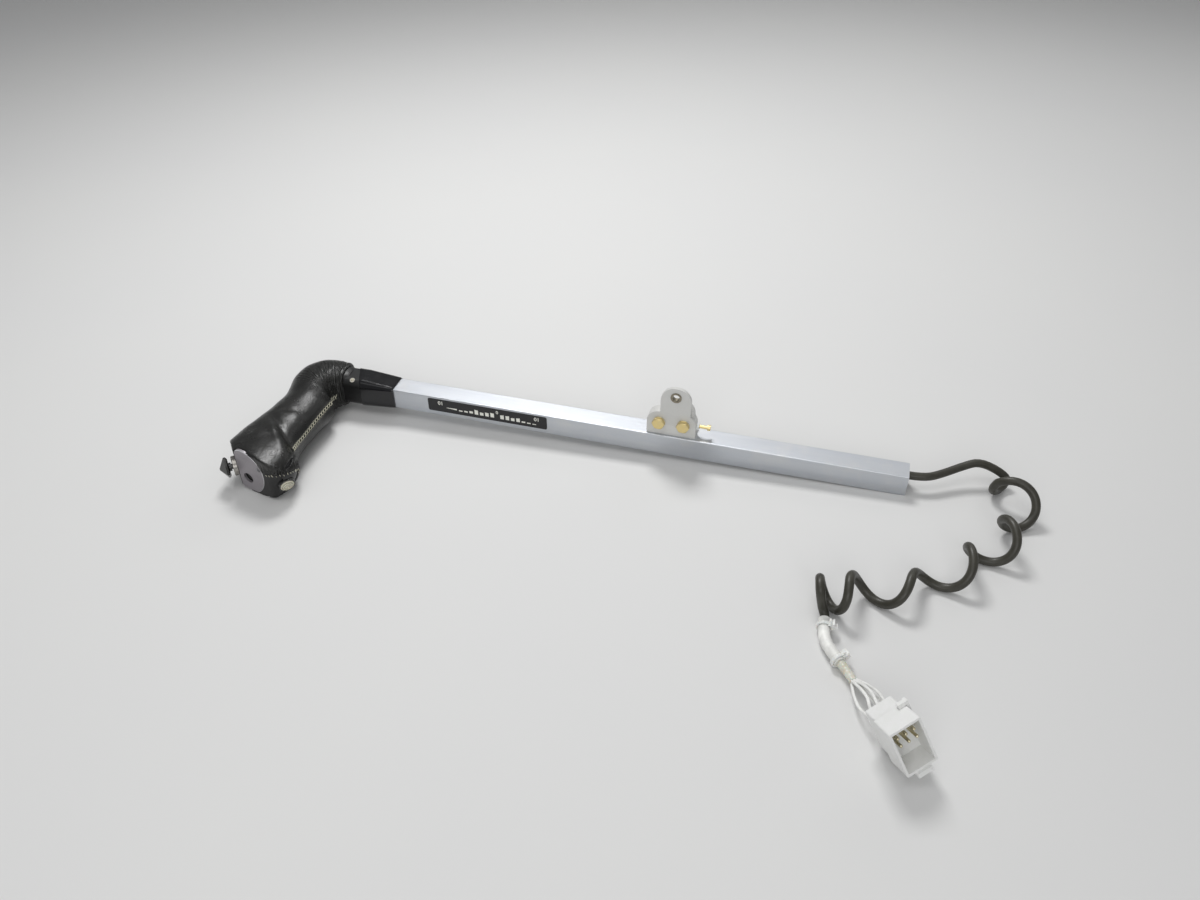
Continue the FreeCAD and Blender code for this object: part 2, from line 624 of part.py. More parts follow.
def build_scale():
    left = COLLAR_X + SCALE_LEFT
    high = SCALE_HEIGHT / 2
    plate = block((left, -HALF - SCALE_THICK, SCALE_UP - high), (left + SCALE_LENGTH, -HALF, SCALE_UP + high))
    corners = [edge for edge in plate.Edges if edge.BoundBox.YLength > SCALE_THICK - 0.01
               and edge.BoundBox.XLength < 0.01 and edge.BoundBox.ZLength < 0.01]
    return plate.makeFillet(SCALE_CORNER, corners)


def bolt_axes():
    return [Vector(BRACKET_MIDDLE + way * BOLT_SPACING / 2, 0, HALF + BOLT_UP) for way in (-1, 1)]


def lobed_plate(front, thick, top_side, top_up):
    """Plate across the bracket: a round lobe about each bolt and one at the top, on a flat foot."""
    back = front + thick
    half = BRACKET_WIDE / 2
    lobe = half - BOLT_SPACING / 2
    top = Vector(BRACKET_MIDDLE + top_side, 0, HALF + top_up)
    pieces = [block((BRACKET_MIDDLE - half, front, HALF), (BRACKET_MIDDLE + half, back, HALF + BOLT_UP)),
              block((BRACKET_MIDDLE - BOLT_SPACING / 2, front, HALF),
                    (BRACKET_MIDDLE + BOLT_SPACING / 2, back, HALF + BOLT_UP + lobe)),
              rod(LINK_LOBE, top + BACK * front, top + BACK * back)]
    pieces += [rod(lobe, axis + BACK * front, axis + BACK * back) for axis in bolt_axes()]
    if top_up > BOLT_UP + lobe:
        pieces.append(block((top.x - LINK_LOBE, front, HALF + BOLT_UP), (top.x + LINK_LOBE, back, top.z)))
    return fused(pieces)


def rivet_places():
    half = BRACKET_WIDE / 2 - RIVET_INSET
    y = (LINK_FRONT + LINK_THICK + BASE_THICK + FOOT_BACK) / 2
    return [Vector(BRACKET_MIDDLE + way * half, y, HALF) for way in (-1, 1)]


def build_bracket():
    link_x = BRACKET_MIDDLE + LINK_HOLE_SIDE
    web_front = LINK_FRONT + LINK_THICK
    web_back = web_front + BASE_THICK
    link = lobed_plate(LINK_FRONT, LINK_THICK, LINK_HOLE_SIDE, LINK_LOBE_UP)
    base = lobed_plate(web_front, BASE_THICK, BASE_LOBE_SIDE, BASE_LOBE_UP)
    half = BRACKET_WIDE / 2
    foot = block((BRACKET_MIDDLE - half, web_front + 1, HALF), (BRACKET_MIDDLE + half, FOOT_BACK, HALF + FOOT_THICK))
    base = base.fuse(foot).removeSplitter()
    holes = [rod(BOLT_RADIUS + HOLE_CLEAR, axis - BACK * 30, axis + BACK * 30) for axis in bolt_axes()]
    link = cut_all(link, holes)
    base = cut_all(base, holes)
    for place in rivet_places():
        base = base.cut(rod(RIVET_RADIUS + FIT / 3, place - UP * 4, place + UP * 4))
    stop_y = (web_front + web_back) / 2
    stop_start = Vector(BRACKET_MIDDLE + half, stop_y, HALF + STOP_UP)
    base = base.cut(rod(STOP_RADIUS + 0.02, stop_start - ALONG * STOP_SUNK, stop_start + ALONG))
    eye = Vector(link_x, LINK_FRONT, HALF + LINK_HOLE_UP)
    bush_outer = BUSH_BORE + BUSH_WALL
    link = link.cut(rod(bush_outer + 0.02, eye - BACK * 5, eye + BACK * 10))
    bush = rod(bush_outer, eye - BACK * BUSH_FLANGE_THICK, eye + BACK * (LINK_THICK + BUSH_FLANGE_THICK))
    bush = bush.fuse(rod(BUSH_FLANGE, eye + BACK * LINK_THICK, eye + BACK * (LINK_THICK + BUSH_FLANGE_THICK)))
    bush = bush.cut(rod(BUSH_BORE, eye - BACK * 5, eye + BACK * 10))
    stop = rod(STOP_RADIUS, stop_start - ALONG * STOP_SUNK, stop_start + ALONG * STOP_LENGTH)
    stop = stop.fuse(rod(STOP_HEAD, stop_start + ALONG * STOP_LENGTH, stop_start + ALONG * (STOP_LENGTH + STOP_HEAD_THICK)))
    nut = hexagon(STOP_NUT_HEX, STOP_NUT_HIGH).cut(drum(STOP_RADIUS + 0.02, -1, 9))
    nut = placed(nut, Placement(stop_start, Rotation(UP, ALONG)))
    return link, base, bush, stop, nut


def hexagon(across, high):
    reach = across / math.sqrt(3)
    points = [Vector(reach * math.cos(math.radians(60 * k)), reach * math.sin(math.radians(60 * k)), 0) for k in range(7)]
    prism = Part.Face(Part.makePolygon(points)).extrude(Vector(0, 0, high))
    rounding = Part.makeCone(across / 2 + high * 1.9, across / 2 * 0.96, high, Vector(0, 0, 0))
    return prism.common(rounding)


def build_bolts():
    """Hex bolts from the front, with washers under the heads and under the nuts."""
    back = LINK_FRONT + LINK_THICK + BASE_THICK
    bolts, washers, nuts = [], [], []
    for axis in bolt_axes():
        front = Placement(axis + BACK * LINK_FRONT, Rotation(UP, -BACK))
        rear = Placement(axis + BACK * back, Rotation(UP, BACK))
        grip = back - LINK_FRONT
        shank = drum(BOLT_RADIUS, -grip - WASHER_THICK - NUT_HIGH - BOLT_END, WASHER_THICK)
        head = hexagon(BOLT_HEX, BOLT_HEAD)
        head.translate(Vector(0, 0, WASHER_THICK))
        bolts.append(placed(shank.fuse(head), front))
        washers += [placed(pipe(WASHER_RADIUS, BOLT_RADIUS + HOLE_CLEAR, 0, WASHER_THICK), end) for end in (front, rear)]
        nut = hexagon(BOLT_HEX, NUT_HIGH).cut(drum(BOLT_RADIUS + 0.02, -1, 9))
        nut.translate(Vector(0, 0, WASHER_THICK))
        nuts.append(placed(nut, rear))
    return Part.makeCompound(bolts), Part.makeCompound(washers), Part.makeCompound(nuts)


def build_rivets():
    rivets = []
    for place in rivet_places():
        top = place + UP * FOOT_THICK
        body = rod(RIVET_RADIUS, place - UP * (TUBE_WALL + 0.8), top)
        ball = (RIVET_HEAD ** 2 + RIVET_DOME ** 2) / (2 * RIVET_DOME)
        dome = Part.makeSphere(ball, top + UP * (RIVET_DOME - ball))
        dome = dome.common(rod(RIVET_HEAD, top, top + UP * RIVET_DOME))
        rivets.append(body.fuse(dome))
    return Part.makeCompound(rivets)


def build_clip():
    """Clip under the tube's top wall that holds the cord in the tube's mouth."""
    outer = CORD_RADIUS + CLIP_WALL
    end = -CLIP_INSET
    loop = rod(outer, Vector(end - CLIP_LENGTH, 0, CORD_UP), Vector(end, 0, CORD_UP))
    roof = block((end - CLIP_LENGTH, -HALF, -HALF), (end, HALF, HALF - TUBE_WALL))
    foot = block((end - CLIP_LENGTH, -outer, CORD_UP), (end, outer, HALF - TUBE_WALL))
    clip = loop.fuse(foot).common(roof)
    return clip.cut(rod(CORD_RADIUS, Vector(end - FAR, 0, CORD_UP), Vector(end + FAR, 0, CORD_UP)))


def tube_along(points, radius, name):
    """Round tube along straight runs joined by tangent arcs, as large as the runs allow."""
    runs = [(b - a).Length for a, b in zip(points, points[1:])]
    edges, radii, start = [], [], points[0]
    for number in range(1, len(points) - 1):
        before = (points[number] - points[number - 1]).normalize()
        after = (points[number + 1] - points[number]).normalize()
        turn = before.getAngle(after)
        setback = 0.45 * min(runs[number - 1], runs[number])
        radii.append(setback / math.tan(turn / 2))
        first, last = points[number] - before * setback, points[number] + after * setback
        inward = (after - before).normalize()
        centre = points[number] + inward * (setback / math.sin(turn / 2))
        middle = centre - inward * radii[-1]
        edges += [Part.makeLine(start, first), Part.Arc(first, middle, last).toShape()]
        start = last
    edges.append(Part.makeLine(start, points[-1]))
    path = Part.Wire(edges)
    ring = Part.Wire(Part.makeCircle(radius, points[0], points[1] - points[0]))
    solid = path.makePipeShell([ring], True, False)
    full = math.pi * radius ** 2 * path.Length
    print(name, "radii", [round(r, 1) for r in radii], "length", round(path.Length, 1),
          "volume ratio", round(solid.Volume / full, 4))
    return solid


def floor_points(route, height):
    return [Vector(point[0], point[1], point[2] if len(point) > 2 else height) for point in route]


def tie_round(centre, heading, radius):
    """Cable tie round a sleeve: a band with its lock beside it and a cut tail."""
    band = pipe(radius + TIE_THICK, radius, -TIE_WIDE / 2, TIE_WIDE / 2)
    lock = block((radius + 0.2, -TIE_HEAD / 2, -TIE_HEAD / 2), (radius + TIE_HEAD * 0.8, TIE_HEAD / 2, TIE_HEAD / 2))
    turn = Rotation(UP.cross(heading), UP, heading, "ZXY")
    return placed(band.fuse(lock), Placement(centre, turn))


def build_plug():
    """Plug with its mouth along local X, its back at local X 0 and its foot at local Z 0."""
    wide, tall = PLUG_WIDE / 2, PLUG_TALL
    length = PLUG_BACK + PLUG_SHROUD
    step = PLUG_BACK_STEP
    rear = block((0, -wide + step, step), (PLUG_BACK + 1, wide - step, tall - step))
    shroud = block((PLUG_BACK, -wide, 0), (length, wide, tall))
    shell = rear.fuse(shroud).removeSplitter()
    edges = [edge for edge in shell.Edges if edge.BoundBox.XLength > PLUG_SHROUD / 2]
    shell = shell.makeFillet(1.2, edges)
    shell = shell.cut(block((length - PLUG_DEEP, -wide + PLUG_WALL, PLUG_WALL), (length + 1, wide - PLUG_WALL, tall - PLUG_WALL)))
    long, across, thick = PLUG_LATCH
    latch = block((length - long + 2, -across / 2, -thick), (length + 2, across / 2, 0.01))
    ear_long, ear_out, ear_high = PLUG_EAR
    ear = block((PLUG_BACK - 1, wide - 0.01, tall - ear_high), (PLUG_BACK - 1 + ear_long, wide + ear_out - 0.8, tall + ear_out))
    ear = ear.fuse(block((PLUG_BACK, wide - ear_high, tall - 0.01), (PLUG_BACK + ear_long - 1, wide, tall + ear_out)))
    shell = fused([shell, latch, ear])
    pins = []
    for column, row in PIN_PLACES:
        at = Vector(length - PLUG_DEEP, column * PIN_PITCH, tall / 2 + row * PIN_PITCH)
        shell = shell.cut(rod(PIN_RADIUS + 0.02, at - ALONG * PIN_TAIL, at + ALONG))
        shell = shell.cut(rod(WIRE_RADIUS + FIT, at - ALONG * FAR, at - ALONG * (PIN_TAIL - 0.01)))
        pin = rod(PIN_RADIUS, at - ALONG * PIN_TAIL, at + ALONG * PIN_LENGTH)
        tip = Part.makeSphere(PIN_RADIUS, at + ALONG * PIN_LENGTH)
        pins.append(pin.fuse(tip))
    return shell, Part.makeCompound(pins)


def lowest(shapes):
    return min(shape.optimalBoundingBox(False, False).ZMin for shape in shapes)


def build():
    nodes = {}
    nodes["yoke_tube"] = build_tube()
    nodes["neck_collar"] = build_collar()
    nodes["grip_core_upper"], nodes["grip_core_lower"] = build_core()
    nodes["core_screws"] = Part.makeCompound(core_screws())
    nodes["neck_screw"] = build_neck_screw()
    nodes["leather_wrap"], nodes["leather_cap"] = build_leather()
    nodes["top_plate"] = build_plate()
    nodes["plate_screw"] = build_plate_screw()
    nodes["press_switch"], nodes["press_button"] = build_press_switch()
    nodes["talk_switch"], nodes["talk_bezel"], nodes["talk_button"] = build_talk_switch()
    nodes["hat_ring"], nodes["hat_switch"], nodes["hat_gimbal"], nodes["hat_knob"] = build_hat()
    nodes["trim_scale"] = build_scale()
    nodes["link_plate"], nodes["bracket_base"], nodes["link_bush"], nodes["stop_screw"], nodes["stop_nut"] = build_bracket()
    nodes["bracket_bolts"], nodes["bracket_washers"], nodes["bracket_nuts"] = build_bolts()
    nodes["bracket_rivets"] = build_rivets()
    nodes["cord_clip"] = build_clip()
    nodes["inner_cable"] = rod(CORD_RADIUS, Vector(TUBE_END_X - CABLE_PAST_TUBE, 0, CORD_UP), Vector(0, 0, CORD_UP))
    return nodes


def lay_down(nodes):
    """Tilt the yoke so that it rests on the grip and on the far edge of the tube, then move
    it and everything on the floor so that the origin is under the middle of the yoke."""
    slope = math.atan((GRIP_HALF - HALF) / -FAN_CORNER_X)
    for _ in range(3):
        tilt = Rotation(BACK, math.degrees(slope))
        grip, tube = [placed(nodes[name], Placement(Vector(), tilt)) for name in ("leather_wrap", "yoke_tube")]
        slope += (lowest([tube]) - lowest([grip])) / -FAN_CORNER_X
    laid = {name: placed(shape, Placement(Vector(), tilt)) for name, shape in nodes.items()}
    floor = lowest(laid.values())
    box = Part.makeCompound(list(laid.values())).optimalBoundingBox(False, False)
    shift = Vector(-(box.XMin + box.XMax) / 2, -(box.YMin + box.YMax) / 2, -floor)
    for shape in laid.values():
        shape.Placement = Placement(shift, Rotation()).multiply(shape.Placement)
    mouth = tilt.multVec(Vector(0, 0, CORD_UP)) + shift
    corner = Vector(shift.x, shift.y, 0)
    print("tilt", round(math.degrees(tilt.Angle), 3), "origin of the tube's frame", [round(v, 2) for v in shift],
          "mouth", [round(v, 2) for v in mouth])
    return laid, mouth, corner, tilt, shift


def build_cords(mouth, corner):
    """Everything that lies on the floor beside the yoke: cord, sleeve, ties, wires, plug."""
    nodes = {}
    lead = [mouth + Vector(*point) for point in LEAD_ROUTE]
    nodes["cord_lead"] = tube_along(lead, CORD_RADIUS, "lead")
    curl = [corner + point for point in floor_points(CURL_ROUTE, CURL_RADIUS)]
    nodes["cord_curl"] = tube_along(curl, CURL_RADIUS, "curl")
    sleeve = [corner + point for point in floor_points(SLEEVE_ROUTE, SLEEVE_RADIUS + TIE_THICK)]
    nodes["white_sleeve"] = tube_along(sleeve, SLEEVE_RADIUS, "sleeve")
    splice = [corner + point for point in floor_points(SPLICE_ROUTE, SLEEVE_RADIUS + TIE_THICK)]
    nodes["wire_splice"] = tube_along(splice, SPLICE_RADIUS, "splice")
    ties = []
    for start, end, share in ((sleeve[0], sleeve[1], TIE_FIRST), (sleeve[-2], sleeve[-1], TIE_SECOND)):
        along = end - start
        ties.append(tie_round(start + along * share, along.normalize(), SLEEVE_RADIUS))
    nodes["cable_ties"] = Part.makeCompound(ties)
    shell, pins = build_plug()
    frame = Placement(corner + Vector(*PLUG_AT, 0), Rotation(PLUG_MOUTH, PLUG_TOP.cross(PLUG_MOUTH), PLUG_TOP, "XZY"))
    drop = lowest([placed(shell, frame)])
    frame = Placement(frame.Base - UP * drop, frame.Rotation)
    nodes["plug_housing"], nodes["plug_pins"] = placed(shell, frame), placed(pins, frame)
    wires = []
    for (column, row), middle in zip(PIN_PLACES, WIRE_MIDDLES):
        start = splice[-1] + Vector(column, column, 2 * row - 2) * WIRE_RADIUS
        seat = frame.multVec(Vector(WIRE_IN, column * PIN_PITCH, PLUG_TALL / 2 + row * PIN_PITCH))
        lead_in = frame.multVec(Vector(-WIRE_STRAIGHT, column * PIN_PITCH, PLUG_TALL / 2 + row * PIN_PITCH))
        wires.append(tube_along([start, corner + Vector(*middle), lead_in, seat], WIRE_RADIUS, "wire"))
    nodes["plug_wires"] = Part.makeCompound(wires)
    print("plug frame", [round(v, 2) for v in frame.Base])
    return nodes


def main():
    os.makedirs("parts", exist_ok=True)
    yoke, mouth, corner, tilt, shift = lay_down(build())
    nodes = dict(yoke)
    nodes.update(build_cords(mouth, corner))
    for name, shape in nodes.items():
        if not shape.isValid():
            print("not valid:", name)
        if abs(shape.Volume) < 1e-6:
            print("empty:", name)
        shape.exportStep("parts/%s.step" % name)
    for name, frame in (("plate", PLATE_FRAME), ("hat", HAT_FRAME), ("press", PRESS_FRAME), ("talk", TALK_FRAME)):
        place = tilt.multVec(frame.Base) + shift
        out = tilt.multVec(frame.Rotation.multVec(UP))
        side = tilt.multVec(frame.Rotation.multVec(ALONG))
        rise = tilt.multVec(frame.Rotation.multVec(BACK))
        print(name, "at", [round(v, 3) for v in place], "out", [round(v, 5) for v in out],
              "side", [round(v, 5) for v in side], "rise", [round(v, 5) for v in rise])


main()
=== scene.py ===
import json
import math
import random

import bmesh
import bpy
import numpy as np
from mathutils import Matrix, Vector
from mathutils.bvhtree import BVHTree


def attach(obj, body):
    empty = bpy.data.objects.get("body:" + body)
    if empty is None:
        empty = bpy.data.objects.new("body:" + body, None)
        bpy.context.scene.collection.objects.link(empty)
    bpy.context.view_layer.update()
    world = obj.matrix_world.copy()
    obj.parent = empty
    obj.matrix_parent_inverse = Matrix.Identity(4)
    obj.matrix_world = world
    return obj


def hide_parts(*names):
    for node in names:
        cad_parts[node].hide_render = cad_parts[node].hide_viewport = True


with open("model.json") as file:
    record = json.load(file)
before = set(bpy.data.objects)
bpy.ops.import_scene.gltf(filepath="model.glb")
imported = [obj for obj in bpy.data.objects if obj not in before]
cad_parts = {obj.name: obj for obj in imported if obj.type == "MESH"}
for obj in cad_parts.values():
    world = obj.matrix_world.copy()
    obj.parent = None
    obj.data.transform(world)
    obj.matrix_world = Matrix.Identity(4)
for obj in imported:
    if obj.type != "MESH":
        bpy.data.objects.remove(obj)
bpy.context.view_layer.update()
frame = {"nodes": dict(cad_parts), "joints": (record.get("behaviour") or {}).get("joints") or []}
NODES = frame["nodes"]
JOINTS = {joint["name"]: joint for joint in frame["joints"]}
MM = 0.001

# The yoke lies on its side: these turn its own frame (mm, X along the tube, -Y the way the
# grip points) into the world's metres.
TILT = math.radians(1.338)
SHIFT = Vector((271.51, 60.16, 9.52))
LEAN = Matrix.Rotation(TILT, 3, "Y")


def place(x, y, z):
    return (LEAN @ Vector((x, y, z)) + SHIFT) * MM


def place_mm(point):
    return place(*point) / MM


def aim(x, y, z):
    return LEAN @ Vector((x, y, z))


def new_object(name, data):
    made = bpy.data.objects.new(name, data)
    bpy.context.scene.collection.objects.link(made)
    return made


def work_on(*meshes):
    """Bmesh that holds a few meshes."""
    work = bmesh.new()
    for mesh in meshes:
        work.from_mesh(mesh)
    return work


def mesh_of(work, name):
    """Mesh with what a bmesh holds. The bmesh is freed."""
    mesh = bpy.data.meshes.new(name)
    work.to_mesh(mesh)
    work.free()
    return mesh


def smooth_by_angle(mesh, degrees):
    """Smooth shading, with sharp edges where faces meet at more than an angle."""
    mesh.shade_smooth()
    work = work_on(mesh)
    limit = math.radians(degrees)
    for edge in work.edges:
        edge.smooth = len(edge.link_faces) == 2 and edge.calc_face_angle(0) < limit
    work.to_mesh(mesh)
    work.free()


# Materials

class Shader:
    """A material's nodes, built up from a principled surface."""

    def __init__(self, name, colour, rough, metal=0.0, **sockets):
        self.material = bpy.data.materials.new(name)
        self.material.use_nodes = True
        self.tree = self.material.node_tree
        self.surface = self.tree.nodes["Principled BSDF"]
        self.colour, self.rough, self.normal = (*colour, 1), rough, None
        for key, value in dict(Metallic=metal, **sockets).items():
            self.fill(self.surface, key.replace("_", " "), value)
        self.fill_surface()
        self.where = self.node("ShaderNodeTexCoord").outputs["Object"]

    def fill(self, made, key, value):
        """Link an output to an input, or give the input a fixed value."""
        if isinstance(value, bpy.types.NodeSocket):
            self.tree.links.new(value, made.inputs[key])
        elif value is not None:
            made.inputs[key].default_value = value

    def fill_surface(self):
        self.fill(self.surface, "Base Color", self.colour)
        self.fill(self.surface, "Roughness", self.rough)
        self.fill(self.surface, "Normal", self.normal)

    def node(self, kind, inputs=(), **values):
        made = self.tree.nodes.new(kind)
        for key, value in values.items():
            setattr(made, key, value)
        for key, value in dict(inputs).items():
            self.fill(made, key, value)
        return made

    def texture(self, kind, scale, **values):
        """Texture in the object's space; a scale of three numbers stretches it."""
        where = self.where
        if isinstance(scale, tuple):
            mapping = self.node("ShaderNodeMapping", {"Vector": where, "Scale": scale})
            where, scale = mapping.outputs["Vector"], 1.0
        return self.node(kind, {"Vector": where, "Scale": scale}, **values)

    def noise(self, scale, detail=3.0, rough=0.55):
        made = self.texture("ShaderNodeTexNoise", scale)
        self.fill(made, "Detail", detail)
        self.fill(made, "Roughness", rough)
        return made.outputs["Fac"]

    def cells(self, scale, feature="F1"):
        return self.texture("ShaderNodeTexVoronoi", scale, feature=feature).outputs["Distance"]

    def ramp(self, value, low, high, start=0.0, end=1.0):
        """Grey from start to end as a value goes from low to high."""
        made = self.node("ShaderNodeValToRGB", {"Fac": value})
        stops = ((low, start), (high, end))
        for element, (at, level) in zip(made.color_ramp.elements, stops):
            element.position = at
            element.color = (level, level, level, 1)
        return made.outputs["Color"]

    def spots(self, scale, low=0.35, high=0.7):
        """Soft light spots on dark."""
        return self.ramp(self.noise(scale, 4.0), low, high)

    def math(self, kind, *values):
        return self.node("ShaderNodeMath", enumerate(values), operation=kind).outputs[0]

    def vector(self, kind, first, second=None, out="Vector"):
        made = self.node("ShaderNodeVectorMath", {0: first, 1: second}, operation=kind)
        return made.outputs[out]

    def offset(self, point):
        """Vector from a fixed point to the surface's own place."""
        return self.vector("SUBTRACT", self.where, point)

    def facing(self, way, low, high):
        """Light where the surface's own normal has this much along a direction."""
        normal = self.node("ShaderNodeTexCoord").outputs["Normal"]
        return self.ramp(self.vector("DOT_PRODUCT", normal, way, "Value"), low, high)

    def edges(self, low, high):
        return self.ramp(self.node("ShaderNodeNewGeometry").outputs["Pointiness"], low, high)

    def tint(self, mask, colour, amount):
        """Mix a colour over the base where the mask is light."""
        share = self.math("MULTIPLY", mask, amount)
        inputs = {"A": self.colour, "B": (*colour, 1), "Factor": share}
        self.colour = self.node("ShaderNodeMix", inputs, data_type="RGBA").outputs["Result"]

    def polish(self, scale, low, high, detail=4.0):
        """Roughness that wanders from low to high."""
        inputs = {"Value": self.noise(scale, detail), "To Min": low, "To Max": high}
        self.rough = self.node("ShaderNodeMapRange", inputs).outputs["Result"]

    def bump(self, height, depth, strength):
        inputs = {"Height": height, "Distance": depth, "Strength": strength,
                  "Normal": self.normal}
        self.normal = self.node("ShaderNodeBump", inputs).outputs["Normal"]

    def grain(self, scale, depth, strength, detail=3.0, rough=0.55):
        self.bump(self.noise(scale, detail, rough), depth, strength)

    def scratches(self, stretch, wide, depth, strength):
        """Thin grooves between large stretched cells."""
        self.bump(self.ramp(self.cells(stretch, "DISTANCE_TO_EDGE"), 0.0, wide), depth, strength)

    def done(self):
        self.fill_surface()
        return self.material


def scaled(colour, by, plus=0.0):
    return tuple(c * by + plus for c in colour)


def make_aluminium():
    s = Shader("drawn_aluminium", (0.60, 0.62, 0.65), 0.38, 1.0)
    s.tint(s.spots((9, 160, 160)), (0.54, 0.57, 0.62), amount=0.6)
    s.tint(s.spots(38.0, 0.52, 0.78), (0.70, 0.69, 0.67), amount=0.5)
    s.polish((10, 500, 500), low=0.32, high=0.46, detail=3.0)
    s.grain((14, 2600, 2600), depth=0.00006, strength=0.1, detail=4.0, rough=0.7)
    s.scratches((9, 330, 330), wide=0.012, depth=0.00004, strength=0.35)
    return s.done()


# The elbow's fine wrinkles: the point they fan out from, the middle of their stretch, waves and
# wander in radians for each radian of turn, one over their reach in metres, and their depth
WRINKLE_CORNER, WRINKLE_MIDDLE = (-487, -36, 0), (-500, -14, 16)
WRINKLES, WRINKLE_WANDER, WRINKLE_SPAN, WRINKLE_DEPTH = 84.0, 2.4, 30.0, 0.00022


def add_wrinkles(s):
    split = s.node("ShaderNodeSeparateXYZ", {0: s.offset(place(*WRINKLE_CORNER))})
    turn = s.math("ARCTAN2", s.math("MULTIPLY", split.outputs["X"], -1.0), split.outputs["Y"])
    wander = s.math("MULTIPLY", s.noise(75.0, detail=2.0), WRINKLE_WANDER)
    wave = s.math("SINE", s.math("ADD", s.math("MULTIPLY", turn, WRINKLES), wander))
    away = s.vector("LENGTH", s.offset(place(*WRINKLE_MIDDLE)), out="Value")
    near = s.ramp(s.math("MULTIPLY", away, WRINKLE_SPAN), 0.35, 1.0, start=1.0, end=0.0)
    patchy = s.math("MULTIPLY", near, s.spots(60.0, 0.25, 0.5))
    s.bump(s.math("MULTIPLY", wave, patchy), WRINKLE_DEPTH, strength=1.0)


def make_leather(name, colour, shine, grain, wrinkled=False):
    s = Shader(name, colour, 0.4, Specular_IOR_Level=0.5)
    s.tint(s.spots(60.0), scaled(colour, 1.6, 0.002), amount=0.7)
    s.tint(s.spots(17.0, 0.45, 0.75), scaled(colour, 0.6), amount=0.8)
    s.polish(95.0, low=shine - 0.07, high=shine + 0.12, detail=5.0)
    s.bump(s.ramp(s.cells(1150.0), 0.0, 0.55), 0.00011 * grain, strength=0.7)
    s.grain(520.0, 0.00016 * grain, strength=0.6, detail=5.0, rough=0.65)
    s.grain(120.0, 0.0006 * grain, strength=0.35)
    if wrinkled:
        add_wrinkles(s)
    return s.done()


def make_thread():
    s = Shader("seam_thread", (0.58, 0.56, 0.44), 0.55)
    s.tint(s.spots(900.0), (0.70, 0.68, 0.56), amount=0.8)
    s.grain((2500, 2500, 900), depth=0.0001, strength=0.8, detail=2.0)
    return s.done()


def make_plate_metal():
    s = Shader("grey_anodised_plate", (0.30, 0.28, 0.30), 0.42, 0.5)
    out = tuple(-c for c in JOINTS["press_button_push"]["axis"])
    s.tint(s.spots(130.0), (0.35, 0.33, 0.345), amount=0.6)
    s.tint(s.spots(40.0, 0.5, 0.8), (0.25, 0.237, 0.255), amount=0.6)
    # Painted highlight: near white on the slanted faces round the plate's rim, between its flat
    # face and its sides
    rim = s.math("SUBTRACT", s.facing(out, 0.35, 0.45), s.facing(out, 0.93, 0.97))
    s.tint(rim, (0.80, 0.80, 0.82), amount=0.9)
    s.polish(400.0, low=0.34, high=0.5)
    s.grain(2600.0, depth=0.00005, strength=0.5, detail=2.0)
    s.scratches((60, 330, 130), wide=0.015, depth=0.00004, strength=0.4)
    return s.done()


def make_metal(name, colour, low, high, grain=1800.0, second=None, marks=0.00004):
    s = Shader(name, colour, low, 1.0)
    s.tint(s.spots(420.0), second or scaled(colour, 0.8), amount=0.7)
    s.polish(300.0, low, high)
    s.grain(grain, marks, strength=0.5)
    return s.done()


def make_plastic(name, colour, rough, grain=900.0, depth=0.00006, second=None, **sockets):
    s = Shader(name, colour, rough, **sockets)
    s.tint(s.spots(180.0), second or scaled(colour, 1.18, 0.004), amount=0.7)
    s.polish(240.0, low=rough - 0.06, high=rough + 0.08)
    s.grain(grain, depth, strength=0.5)
    return s.done()


def make_gloss_black():
    s = Shader("gloss_black_paint", (0.004, 0.004, 0.005), 0.14, Specular_IOR_Level=0.4,
               Coat_Weight=0.15, Coat_Roughness=0.06)
    s.tint(s.spots(70.0), (0.009, 0.009, 0.011), amount=0.6)
    s.polish(160.0, low=0.1, high=0.26)
    s.grain(230.0, depth=0.00008, strength=0.35, detail=2.0)
    s.scratches((50, 420, 420), wide=0.01, depth=0.00002, strength=0.3)
    return s.done()


def make_white_paint():
    s = Shader("white_paint", (0.80, 0.80, 0.78), 0.34, Coat_Weight=0.15, Coat_Roughness=0.2)
    s.tint(s.spots(55.0), (0.74, 0.74, 0.71), amount=0.7)
    s.tint(s.edges(0.54, 0.62), (0.55, 0.55, 0.53), amount=0.6)
    s.tint(s.spots(330.0, 0.66, 0.74), (0.58, 0.56, 0.5), amount=0.35)
    s.polish(200.0, low=0.28, high=0.44)
    s.grain(420.0, depth=0.00009, strength=0.5)
    return s.done()


def make_rubber(name, colour, rough, ribs=0.0):
    s = Shader(name, colour, rough, Specular_IOR_Level=0.45)
    s.tint(s.spots(150.0), scaled(colour, 1.35, 0.006), amount=0.7)
    s.tint(s.spots(36.0, 0.5, 0.8), scaled(colour, 0.75), amount=0.6)
    s.polish(320.0, low=rough - 0.08, high=rough + 0.1)
    s.grain(900.0, 0.00008 + ribs, strength=0.5)
    return s.done()


# Rings on the talk button's face, in radians for each metre from its axis
RING_WAVES = 3900.0


def middle_at(node):
    points = [vertex.co for vertex in NODES[node].data.vertices]
    return sum(points, Vector()) / len(points)


